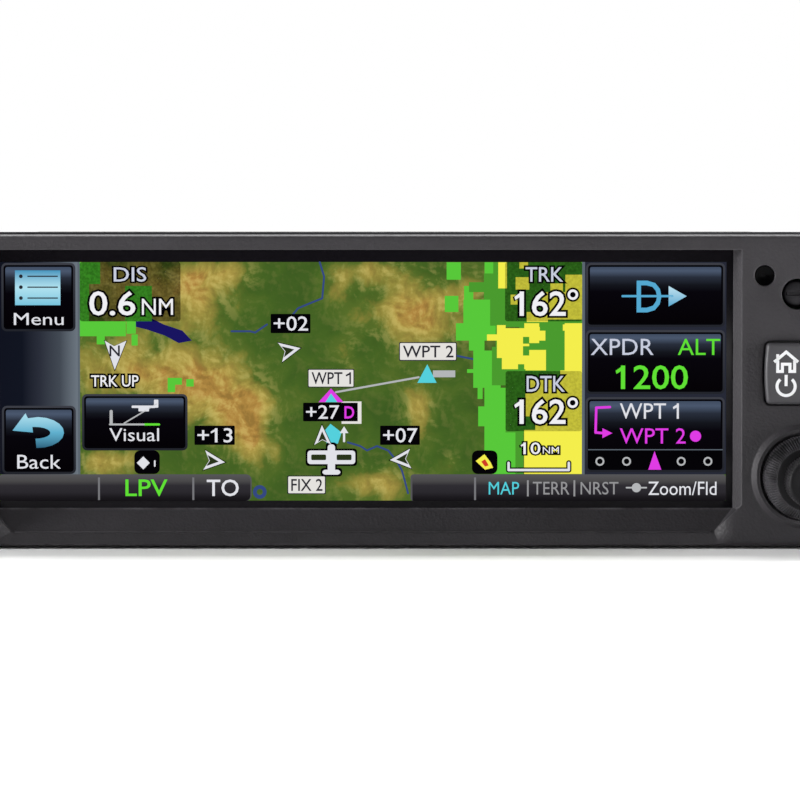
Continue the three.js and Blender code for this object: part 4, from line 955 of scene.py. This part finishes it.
return_arrow = [(2.0, 11.3), (4.1, 14.1), (4.5, 13.3)]
return_arrow += arc(6.0, 11.0, 4.3, 2.5, 88, -92)
return_arrow += arc(5.7, 10.95, 2.4, 0.95, -90, 90)
return_arrow += [(5.2, 11.9), (5.3, 11.0)]
shape("back_picture", "symbol", return_arrow)
stroke("picture_blue", "symbol", [(100.2, 32.96), (108.2, 32.96)], 0.36)
words("D", "picture_blue", 102.5, 30.4, 106.4, 35.4, 0.05)
shape("picture_blue", "symbol", [(107.6, 31.3), (110.5, 32.95), (107.6, 34.6)])
stroke("label_grey", "symbol", [(17.7, 12.3), (23.2, 12.3)], 0.3)
stroke("green_ink", "symbol", [(23.3, 12.3), (25.6, 12.3)], 0.35)
stroke("label_grey", "symbol", [(20.0, 12.5), (25.2, 15.6)], 0.22)
stroke("label_grey", "symbol", [(17.9, 12.5), (17.9, 14.4)], 0.5)
approach_plane = ((21.2, 14.95, 25.0, 15.35), (22.3, 14.4, 24.0, 15.1), (24.8, 15.0, 25.5, 16.3))
for left, bottom, right, top in approach_plane:
    plate("label_white", "symbol", left, bottom, right, top, 0.12)
stroke("magenta_ink", "symbol", [(98.2, 15.1), (96.0, 15.0), (95.9, 11.0), (97.2, 10.9)], 0.4)
shape("magenta_ink", "symbol", [(97.0, 10.1), (98.6, 10.9), (97.0, 11.7)])
disc("magenta_ink", "symbol", (112.0, 10.4), 0.9)
shape("magenta_ink", "outline", [(104.4, 5.0), (106.5, 5.0), (105.4, 8.0)])
for across in (96.6, 100.9, 109.7, 114.0):
    disc("label_grey", "outline", (across, 6.35), 0.72, 0.45)
disc("label_grey", "symbol", (102.5, 2.1), 0.75)
stroke("label_grey", "symbol", [(100.9, 2.1), (104.1, 2.1)], 0.25)
disc("dim_ink", "panel", (102.4, 2.1), 1.15, 0.85)
print("button pictures drawn")

# %% [markdown]
# ### Colours of the picture
# Each colour is a lit material. A fine grid of screen dots runs through all of them, too fine to see from
# a normal distance, and close up it makes the picture look like a display and not like print.

# %% Lit colours
dots, dots_in, dots_out = new_group("screen_dots", {"Place": None, "Pitch": 0.00012}, ["Glow"])
dots_place = add_node(dots, "ShaderNodeSeparateXYZ", {"Vector": dots_in["Place"]})
glow = 1.0
for axis in ("X", "Z"):
    phase = calculate(dots, "FRACT", calculate(dots, "DIVIDE", dots_place.outputs[axis], dots_in["Pitch"]))
    off_middle = calculate(dots, "ABSOLUTE", calculate(dots, "SUBTRACT", phase, 0.5))
    gap = spread(dots, off_middle, 0.4, 0.5, 1.0, 0.88)
    glow = calculate(dots, "MULTIPLY", glow, gap)
dots.links.new(glow, dots_out.inputs["Glow"])


def glowing(name, *stops):
    """A lit colour, or a ramp of (position, colour) stops from the foot of each plate to its top."""
    material, tree, shader, place = lit(name)
    screen = use_group(tree, dots, {"Place": place})
    climb = add_node(tree, "ShaderNodeAttribute", attribute_name="climb").outputs["Fac"]
    if len(stops) == 1:
        stops = [(0.0, stops[0]), (1.0, stops[0])]
    picture = add_node(tree, "ShaderNodeVectorMath", {
        0: colour_ramp(tree, climb, stops), 1: screen.outputs["Glow"]}, operation="SCALE")
    return material, tree, shader, picture


lit_colours = {
    "black": [tone(3, 2, 5)],
    "river": [tone(52, 72, 128)],
    "lake": [tone(24, 20, 96)],
    "rain_edge": [tone(88, 200, 58)],
    "rain": [tone(74, 154, 46)],
    "heavy_rain": [tone(244, 238, 76)],
    "left_strip": [(0.0, tone(16, 19, 31)), (0.28, tone(17, 21, 33)), (0.5, tone(42, 46, 58)),
                   (0.75, tone(66, 73, 83)), (1.0, tone(112, 122, 132))],
    "right_strip": [tone(38, 41, 54)],
    "strip_edge": [tone(92, 102, 112)],
    "button_frame": [(0.0, tone(34, 36, 43)), (1.0, tone(60, 62, 70))],
    "button_face": [(0.0, tone(3, 1, 4)), (0.56, tone(6, 4, 10)), (0.68, tone(19, 21, 28)),
                    (0.82, tone(40, 46, 59)), (0.93, tone(74, 87, 109)), (1.0, tone(64, 76, 96))],
    "bar_edge": [tone(84, 84, 87)],
    "bar_face": [(0.0, tone(18, 16, 19)), (0.16, tone(28, 26, 30)), (0.35, tone(42, 40, 45)),
                 (0.62, tone(47, 45, 50)), (0.8, tone(74, 73, 74)), (1.0, tone(84, 83, 85))],
    "bar_divider": [tone(118, 118, 122)],
    "label_white": [tone(225, 226, 232)],
    "label_grey": [tone(180, 182, 184)],
    "field_label": [tone(200, 205, 222)],
    "field_value": [tone(240, 240, 244)],
    "green_ink": [tone(96, 224, 52)],
    "cyan_ink": [tone(84, 208, 220)],
    "magenta_ink": [tone(224, 60, 228)],
    "dim_ink": [tone(148, 148, 150)],
    "tag_white": [tone(228, 226, 222)],
    "tag_ink": [tone(40, 40, 48)],
    "arrow_hollow": [tone(40, 52, 26)],
    "menu_picture": [(0.0, tone(120, 196, 222)), (0.5, tone(176, 226, 240)), (1.0, tone(70, 150, 190))],
    "back_picture": [(0.0, tone(44, 96, 124)), (0.45, tone(96, 176, 206)), (1.0, tone(176, 226, 240))],
    "picture_blue": [(0.0, tone(84, 168, 208)), (1.0, tone(190, 226, 240))],
    "warning_red": [tone(206, 60, 40)],
}
for name, part in ink.items():
    if name == "field_shade":
        continue
    material, tree, shader, picture = glowing(name, *lit_colours[name])
    tree.links.new(picture.outputs["Vector"], shader.inputs["Emission Color"])
    show("display_" + name, part, material, "unit", smooth=20)
print("lit colours:", len(ink))

# %% Shading behind the data fields
shade, tree, shader, place = lit("field_shade")
shader.inputs["Emission Strength"].default_value = 0.0
speckle = add_node(tree, "ShaderNodeTexNoise", {"Vector": place, "Scale": 2500.0, "Detail": 1.0})
tree.links.new(spread(tree, speckle.outputs["Fac"], 0.3, 0.7, 0.36, 0.5), shader.inputs["Alpha"])
show("display_field_shade", ink["field_shade"], shade, "unit", smooth=20)

# %% [markdown]
# ## Home and power key
# The keycap is moulded in one piece with a rounded rim, and its two symbols are printed in white. The cap
# is the fixed model's shape with a wide bevel round its face. The symbols are thin strokes on the face.

# %% Keycap
key_low, key_high = where("home_power_key")
key_x, key_z = middle("home_power_key").x, middle("home_power_key").z
keycap = merged_copy("home_power_key")
face_rim = [edge for edge in sharp_edges(keycap, 40)
            if all(abs(corner.co.y - key_low.y) < 0.01 for corner in edge.verts)]
round_edges(keycap, face_rim, 0.55, 4)
show("keycap", keycap, finish["key_plastic"], "home_key", ["home_power_key"])

# %% House and power symbols
layer_y["key_print"] = key_low.y - 0.02


def from_key(across, up):
    """A point near the key's middle, as the drawing functions take it."""
    return ((key_x + across - lit_left) / DRAWING_SCALE, (key_z + up - LIT_BASE) / DRAWING_SCALE)


symbol_lines = [
    [(-1.9, 1.85), (0, 3.45), (1.9, 1.85)],
    [(-1.35, 2.1), (-1.35, 0.35), (-0.6, 0.35), (-0.6, 1.5),
     (0.6, 1.5), (0.6, 0.35), (1.35, 0.35), (1.35, 2.1)],
    [(-1.35, 2.5), (-1.35, 3.1)],
    [(0, -0.2), (0, -2.0)],
]
SYMBOL_STROKE = 0.48
RING_RADIUS = 1.45
RING_MIDDLE = -2.05
ring_turns = [math.radians(turn) for turn in range(40, 321, 10)]
symbol_lines.append([(RING_RADIUS * math.sin(turn), RING_MIDDLE + RING_RADIUS * math.cos(turn))
                     for turn in ring_turns])


def band(line, width):
    """One outline round a line through some points, with mitred corners."""
    points = [Vector(point) for point in line]
    sides = ([], [])
    for number, point in enumerate(points):
        ends = [end for end in (number, number + 1) if 0 < end < len(points)]
        runs = [(points[end] - points[end - 1]).normalized() for end in ends]
        along = sum(runs, Vector((0, 0))).normalized()
        reach = width / 2 / along.dot(runs[0])
        sides[0].append(point + Vector((-along.y, along.x)) * reach)
        sides[1].append(point - Vector((-along.y, along.x)) * reach)
    return sides[0] + sides[1][::-1]


for line in symbol_lines:
    shape("key_print", "key_print", [from_key(*point) for point in band(line, SYMBOL_STROKE)])
show("key_symbols", ink["key_print"], finish["white_plastic"], "home_key", smooth=20)

# %% [markdown]
# ## Light sensor and rack lock
# The light sensor looks out through a small hole behind a smoked lens. The rack lock's screw sits in a
# deeper hole, where a long key reaches it. Both are turned shapes: a profile is spun round the hole's axis.

# %% Turned shapes
def turned(profile, axis_x, axis_z, steps=48, closed=True):
    """Spins a profile of (radius, y) round an axis along Y, as a bmesh in millimetres."""
    bm = bmesh.new()
    corners = [bm.verts.new((axis_x + radius, y, axis_z)) for radius, y in profile]
    for first, second in zip(corners, corners[1:]):
        bm.edges.new((first, second))
    if closed:
        bm.edges.new((corners[-1], corners[0]))
    bmesh.ops.spin(bm, geom=bm.verts[:] + bm.edges[:], cent=(axis_x, 0, axis_z), axis=(0, 1, 0),
                   angle=math.radians(360), steps=steps, use_merge=True)
    bmesh.ops.remove_doubles(bm, verts=bm.verts, dist=0.0005)
    return bm


sensor_spot = middle("light_sensor_window")
sensor_back = where("light_sensor_window")[1].y
sensor_face = column_y + 0.5
lens = turned([(0, sensor_face + 0.35), (0.7, sensor_face + 0.25), (1.2, sensor_face + 0.05),
               (1.5, sensor_face), (1.55, sensor_face + 0.3), (1.55, sensor_back - 4.3),
               (2.2, sensor_back - 4.3), (2.2, sensor_back - 3.5), (0, sensor_back - 3.5)],
              sensor_spot.x, sensor_spot.z, closed=False)
smoked, tree, shader, place = start_material("smoked_lens")
haze = add_node(tree, "ShaderNodeTexNoise", {"Vector": place, "Scale": 900.0, "Detail": 2.0})
smoke = blend_colours(tree, haze.outputs["Fac"], tone(1, 1, 1), tone(3, 3, 4))
tree.links.new(smoke, shader.inputs["Base Color"])
tree.links.new(spread(tree, haze.outputs["Fac"], 0.3, 0.7, 0.25, 0.35), shader.inputs["Roughness"])
shader.inputs["Specular IOR Level"].default_value = 0.04
show("sensor_lens", lens, smoked, "unit", ["light_sensor_window"])

# %% Lock screw, with a slot in a blackened head
def slot_wall(angle, reach, half_width):
    """How far a straight slot across a head reaches at an angle from its middle."""
    return min(half_width / (abs(math.sin(angle)) + 1e-9), reach / (abs(math.cos(angle)) + 1e-9))


def recess_wall(angle, reach, half_arm):
    """How far a cross-shaped recess reaches at an angle from its middle."""
    c, s = abs(math.cos(angle)) + 1e-9, abs(math.sin(angle)) + 1e-9
    return max(min(half_arm / s, reach / c), min(half_arm / c, reach / s))


def hex_wall(angle, across):
    """How far a hexagon reaches at an angle from its middle."""
    return across / 2 / math.cos((angle + math.radians(30)) % math.radians(60) - math.radians(30))


def screw_head(radius, height, recess_depth, wall, dome=0.15, steps=48, foot=None):
    """A screw's head along -Z, with a recess whose wall is a function of angle; a foot makes it a cone."""
    bm = bmesh.new()
    rim = bmesh.ops.create_circle(bm, segments=steps, radius=foot or radius)["verts"]
    rings = [rim]
    for ring_radius, z in ((radius, -height + dome), (radius * 0.93, -height + dome * 0.3),
                           (radius * 0.8, -height), (None, -height), (None, -height + recess_depth)):
        ring = bmesh.ops.create_circle(bm, segments=steps, radius=ring_radius or radius / 2)["verts"]
        for corner in ring:
            if ring_radius is None:
                turn = math.atan2(corner.co.y, corner.co.x)
                deep = 0.85 if z > -height else 1.0
                corner.co.x = math.cos(turn) * wall(turn) * deep
                corner.co.y = math.sin(turn) * wall(turn) * deep
            corner.co.z = z
        edges = {edge for corner in rings[-1] + ring for edge in corner.link_edges
                 if edge.other_vert(corner) in (rings[-1] if corner in rings[-1] else ring)}
        bmesh.ops.bridge_loops(bm, edges=list(edges))
        rings.append(ring)
    bm.faces.new(rings[-1])
    bm.faces.new(rings[0])
    bmesh.ops.recalc_face_normals(bm, faces=bm.faces)
    return bm


lock_low, lock_high = where("lock_screw")
lock_spot = middle("lock_screw")
LOCK_HEAD_DEPTH = 1.6
lock_head_radius = (lock_high.x - lock_low.x) / 2
LOCK_SINK = 0.9  # the head lies deeper than the hole's guide, out of the way of a fingertip
head = screw_head(lock_head_radius, LOCK_HEAD_DEPTH, 0.7, lambda turn: slot_wall(turn, 1.65, 0.34), 0.3)
bmesh.ops.rotate(head, cent=(0, 0, 0), matrix=Matrix.Rotation(math.radians(-90), 3, "X"), verts=head.verts)
rod_front = lock_low.y + LOCK_SINK + LOCK_HEAD_DEPTH
bmesh.ops.translate(head, vec=(lock_spot.x, rod_front, lock_spot.z), verts=head.verts)
rod = turned([(0, rod_front), (1.2, rod_front), (1.2, lock_high.y - 0.3),
              (0.9, lock_high.y), (0, lock_high.y)], lock_spot.x, lock_spot.z, 24, False)
join(head, rod)
finish["blackened_steel"] = metal("blackened_steel", tone(40, 39, 42), tone(26, 25, 28), 0.42, 800.0, 800.0,
                                  shine=0.7)
show("lock_key_screw", head, finish["blackened_steel"], "lock_screw", ["lock_screw"])
print("lock head radius:", round(lock_head_radius, 2))

# %% [markdown]
# ## The double knob
# The outer knob has a tapered front with fine radial ribs and a smooth face. The inner knob has fine ribs
# along its side. A knob is a lathe job, so each one is a spun profile. The ribs come from moving every
# second pair of the spun points inwards, by the same small depth, where the profile is marked as ribbed.

# %% Ribbed turning
def ribbed(profile, axis_x, axis_z, ribs, depth, ribbed_from, ribbed_to):
    """A turned shape whose outside has ribs between two places along Y."""
    steps = ribs * 4
    bm = turned(profile, axis_x, axis_z, steps)
    share = math.radians(360) / steps
    for corner in bm.verts:
        aside, up = corner.co.x - axis_x, corner.co.z - axis_z
        reach = math.hypot(aside, up)
        outside = reach > profile_reach(profile, corner.co.y) - 0.01
        if outside and ribbed_from - 0.001 <= corner.co.y <= ribbed_to + 0.001:
            number = round(math.atan2(up, aside) / share) % 4
            if number in (2, 3):
                corner.co.x = axis_x + aside * (reach - depth) / reach
                corner.co.z = axis_z + up * (reach - depth) / reach
    return bm


def profile_reach(profile, y):
    """The largest radius of a profile at a place along Y."""
    return max([radius for radius, place in profile if abs(place - y) < 0.001], default=1e9)


# %% Outer knob
outer_low, outer_high = where("outer_knob")
knob_x, knob_z = middle("outer_knob").x, middle("outer_knob").z
outer_radius = (outer_high.x - outer_low.x) / 2
CONE_LENGTH = 3.4
KNOB_FACE = 5.1
cone_back = outer_low.y + CONE_LENGTH
outer_profile = [
    (1.8, outer_low.y + 0.15), (1.95, outer_low.y), (KNOB_FACE - 0.25, outer_low.y),
    (KNOB_FACE - 0.05, outer_low.y + 0.12), (KNOB_FACE + 0.15, outer_low.y + 0.5),
    (outer_radius - 0.12, cone_back - 0.2), (outer_radius, cone_back + 0.2),
    (outer_radius, outer_high.y - 0.35), (outer_radius - 0.25, outer_high.y - 0.3),
    (outer_radius - 0.3, outer_high.y), (5.35, outer_high.y),
    (5.35, outer_high.y - 4.2), (1.8, outer_high.y - 4.2)]
outer_knob = ribbed(outer_profile, knob_x, knob_z, 96, 0.14, outer_low.y + 0.45, outer_high.y - 0.32)
show("outer_knob_ribbed", outer_knob, finish["knob_plastic"], "outer_knob", ["outer_knob"])
print("outer knob radius:", round(outer_radius, 2))

# %% Inner knob
inner_low, inner_high = where("inner_knob")
inner_radius = (inner_high.x - inner_low.x) / 2
inner_profile = [
    (0, inner_low.y + 0.25), (2.4, inner_low.y + 0.2), (3.0, inner_low.y),
    (inner_radius - 0.55, inner_low.y), (inner_radius - 0.35, inner_low.y + 0.12),
    (inner_radius, inner_low.y + 0.6), (inner_radius, inner_high.y - 0.6),
    (inner_radius - 0.35, inner_high.y), (1.7, inner_high.y), (1.7, inner_high.y - 1.5),
    (0, inner_high.y - 1.5)]
inner_knob = ribbed(inner_profile, knob_x, knob_z, 60, 0.13, inner_low.y + 0.55, inner_high.y - 0.55)
show("inner_knob_ribbed", inner_knob, finish["knob_plastic"], "inner_knob", ["inner_knob"])
print("inner knob radius:", round(inner_radius, 2))


# %% Set screws, seen from below as small sockets
def set_screw(node_name, knob_radius, body):
    """A headless socket screw whose end lies flush in the knob's lower side."""
    low, high = where(node_name)
    bm = screw_head((high.x - low.x) / 2, high.z - low.z, 0.7, lambda turn: hex_wall(turn, 0.7), 0.1, 24)
    bmesh.ops.translate(bm, verts=bm.verts, vec=(knob_x, (low.y + high.y) / 2,
                                                 knob_z - knob_radius - 0.02 + high.z - low.z))
    show(node_name + "_socket", bm, finish["blackened_steel"], body, [node_name])


set_screw("outer_knob_set_screw", outer_radius, "outer_knob")
set_screw("inner_knob_set_screw", inner_radius, "inner_knob")

# %% [markdown]
# ## Memory card
# A full-size card stands on edge in its slot. Its end has grip ridges and its face has a shallow panel for a
# label. It is cut from one block by extruding and insetting.

# %% Card
card_low, card_high = where("memory_card")
CARD_NOTCH = 4.0
card = bmesh.new()
outline = [(card_low.y, card_low.z), (card_high.y, card_low.z), (card_high.y, card_high.z - CARD_NOTCH),
           (card_high.y - CARD_NOTCH, card_high.z), (card_low.y, card_high.z)]
card_face = card.faces.new([card.verts.new((card_low.x, y, z)) for y, z in outline])
extrude(card, [card_face], (card_high.x - card_low.x, 0, 0))
bmesh.ops.recalc_face_normals(card, faces=card.faces)
card.faces.ensure_lookup_table()
for side in [face for face in card.faces if abs(face.normal.x) > 0.9]:
    bmesh.ops.inset_region(card, faces=[side], thickness=1.6, depth=0)
    bmesh.ops.inset_region(card, faces=[side], thickness=0.15, depth=-0.12)
round_edges(card, [edge for edge in sharp_edges(card, 60) if edge.calc_length() > 3], 0.12, 2)
show("memory_card_body", card, finish["black_plastic"], "memory_card", ["memory_card"])
ridges = bmesh.new()
RIDGE_PITCH = 0.9
for step in range(6):
    ridge = bmesh.ops.create_cone(ridges, cap_ends=True, segments=12, radius1=0.22, radius2=0.22,
                                  depth=14)["verts"]
    bmesh.ops.translate(ridges, verts=ridge, vec=(
        (card_low.x + 0.02, card_high.x - 0.02)[step % 2], card_low.y + 0.9 + RIDGE_PITCH * (step // 2),
        (card_low.z + card_high.z) / 2))
show("memory_card_grip", ridges, finish["black_plastic"], "memory_card")
print("card:", [round(side, 1) for side in card_high - card_low])

# %% [markdown]
# ## Screws of the chassis
# The cover's screws are sunk flush and the rear plate's have pan heads. All have a cross recess. One head
# shape serves both: rings of points from the rim to the recess, bridged one after another.

# %% Cover and rear plate screws
CROSS_REACH = 0.95
CROSS_ARM = 0.24
SHANK_RADIUS = 0.75
for number in range(1, 5):
    for family, faces_up in (("cover_screw", True), ("rear_plate_screw", False)):
        node_name = f"{family}_{number}"
        low, high = where(node_name)
        spot = (low + high) / 2
        radius = (high.x - low.x) / 2
        head_height = 0.8 if faces_up else 0.9
        head = screw_head(radius - (0.08 if faces_up else 0), head_height, 0.55,
                          lambda turn: recess_wall(turn, CROSS_REACH, CROSS_ARM),
                          0.06 if faces_up else 0.25, foot=0.78 if faces_up else None)
        shank = bmesh.ops.create_cone(head, cap_ends=True, segments=16, radius1=SHANK_RADIUS,
                                      radius2=SHANK_RADIUS, depth=1)["verts"]
        length = (high.z - low.z if faces_up else high.y - low.y) - head_height
        bmesh.ops.scale(head, vec=(1, 1, length), verts=shank)
        bmesh.ops.translate(head, vec=(0, 0, length / 2), verts=shank)
        turn = Matrix.Rotation(math.radians(180 if faces_up else 90), 3, "X")
        bmesh.ops.rotate(head, cent=(0, 0, 0), matrix=turn, verts=head.verts)
        place_at = ((spot.x, spot.y, high.z - head_height) if faces_up
                    else (spot.x, high.y - head_height, spot.z))
        bmesh.ops.translate(head, vec=place_at, verts=head.verts)
        show(node_name + "_cross", head, finish["bright_steel"], "unit", [node_name])
print("screws:", 8)

# %% [markdown]
# ## Sheet metal and castings
# Folded sheet, the rear plate and the finned sink keep the fixed model's shape. Their outer edges get a
# fine break, as deburred metal has, so that they catch the light.

# %% Edges of the metalwork
for node_name, slot, width in (
        ("bezel_back_frame", "frame_finish", 0.15), ("heat_sink", "black_aluminium", 0.12),
        ("rear_plate", "bare_aluminium", 0.15)):
    part = merged_copy(node_name)
    long_edges = [edge for edge in sharp_edges(part, 60) if edge.calc_length() > 8]
    round_edges(part, long_edges, width, 2)
    show(node_name + "_deburred", part, finish[slot], "unit", [node_name])

# %% [markdown]
# ## Rear connectors
# Each D-shaped connector holds rows of pins in a black insulator inside its plated shell, and a jack screw
# stands at either end. The pins are turned brass with a rounded tip, so one small pin mesh is repeated.

# %% Pins, insulators and jack screws
finish["gold_plate"] = metal("gold_plate", tone(214, 176, 96), tone(190, 150, 76), 0.25, 900.0, 900.0)


def row_of_pins(bm, count, left, pitch, height, y_from, y_to, radius):
    for number in range(count):
        pin = bmesh.ops.create_cone(bm, cap_ends=True, segments=8, radius1=radius, radius2=radius * 0.6,
                                    depth=y_to - y_from)["verts"]
        bmesh.ops.rotate(bm, cent=(0, 0, 0), matrix=Matrix.Rotation(math.radians(-90), 3, "X"), verts=pin)
        bmesh.ops.translate(bm, vec=(left + number * pitch, (y_from + y_to) / 2, height), verts=pin)


PIN_PITCH = 2.2
for node_name in ("main_connector", "second_connector"):
    low, high = where(node_name)
    spot = (low + high) / 2
    shell_half = (high.x - low.x) / 2 - 2.5
    floor_y = where("rear_plate")[1].y + 0.6
    insulator = bmesh.new()
    bmesh.ops.create_cube(insulator, size=1)
    bmesh.ops.scale(insulator, vec=(2 * shell_half - 7, 3.6, 6.4), verts=insulator.verts)
    bmesh.ops.translate(insulator, vec=(spot.x, floor_y + 1.85, spot.z), verts=insulator.verts)
    round_edges(insulator, insulator.edges[:], 0.3, 2)
    show(node_name + "_insulator", insulator, finish["black_plastic"], "unit")
    pins = bmesh.new()
    per_row = int((2 * shell_half - 9) / PIN_PITCH)
    for row in (-1, 0, 1):
        count = per_row - (row == 0)
        row_of_pins(pins, count, spot.x - (count - 1) * PIN_PITCH / 2, PIN_PITCH, spot.z + row * 1.9,
                    floor_y + 3.5, high.y - 1.2, 0.42)
    show(node_name + "_pins", pins, finish["gold_plate"], "unit")
    jacks = bmesh.new()
    for side in (-1, 1):
        jack = turned([(0.9, high.y - 3.2), (0.9, high.y - 2.6), (2.2, high.y - 2.6), (2.2, floor_y - 0.5),
                       (0.9, floor_y - 0.5)], spot.x + side * (shell_half + 2.9), spot.z, 6)
        join(jacks, jack)
    show(node_name + "_jack_screws", jacks, finish["bright_steel"], "unit")
    print(node_name, "pins:", 3 * per_row - 1)

# %% [markdown]
# The antenna connectors are bayonet sockets: a turned shell with a white insulator and a gold contact
# inside, and two lugs on its side that the plug's collar locks on.

# %% Antenna connectors
for node_name in ("gps_antenna_connector", "transponder_antenna_connector"):
    low, high = where(node_name)
    spot = (low + high) / 2
    plate_face = where("rear_plate")[1].y
    back_end = low.y
    shell = turned([
        (0.9, back_end), (6.0, back_end), (6.0, back_end + 0.9), (4.75, back_end + 0.95),
        (4.75, plate_face + 1.0), (5.1, plate_face + 1.1), (5.1, plate_face + 2.1),
        (4.55, plate_face + 2.3), (4.55, high.y - 0.5),
        (4.3, high.y - 0.1), (4.1, high.y), (3.7, high.y), (3.4, high.y - 0.3), (3.4, plate_face + 3.0),
        (0.9, plate_face + 3.0)], spot.x, spot.z)
    for side in (-1, 1):
        lug = bmesh.ops.create_cone(shell, cap_ends=True, segments=16, radius1=0.9, radius2=0.8,
                                    depth=0.9)["verts"]
        bmesh.ops.rotate(shell, cent=(0, 0, 0), verts=lug,
                         matrix=Matrix.Rotation(math.radians(90 * side), 3, "Y"))
        bmesh.ops.translate(shell, vec=(spot.x + side * 4.75, high.y - 4.2, spot.z), verts=lug)
    show(node_name + "_shell", shell, finish["nickel_plate"], "unit", [node_name])
    collar = turned([(0.75, plate_face + 3.1), (3.3, plate_face + 3.1), (3.3, plate_face + 5.0),
                     (1.9, plate_face + 5.2), (1.9, high.y - 2.2), (0.75, high.y - 2.2)], spot.x, spot.z, 32)
    show(node_name + "_insulator", collar, finish["white_plastic"], "unit")
    contact = turned([(0, plate_face + 3.1), (0.7, plate_face + 3.1), (0.7, high.y - 1.9),
                      (0.45, high.y - 1.6), (0, high.y - 1.6)], spot.x, spot.z, 20, False)
    show(node_name + "_contact", contact, finish["gold_plate"], "unit")
print("antenna connectors: 2")

# %% [markdown]
# ## Nodes that keep the fixed model's shape
# The rest of the nodes already have their true shape. They only get a finish, by their record's slot.

# %% Finishes for the remaining nodes
for part in frame["record"]["subparts"]:
    node_object = frame["nodes"][part["node"]]
    material = finish.get(part["material_slot"], finish["black_plastic"])
    node_object.data.materials.clear()
    node_object.data.materials.append(material)
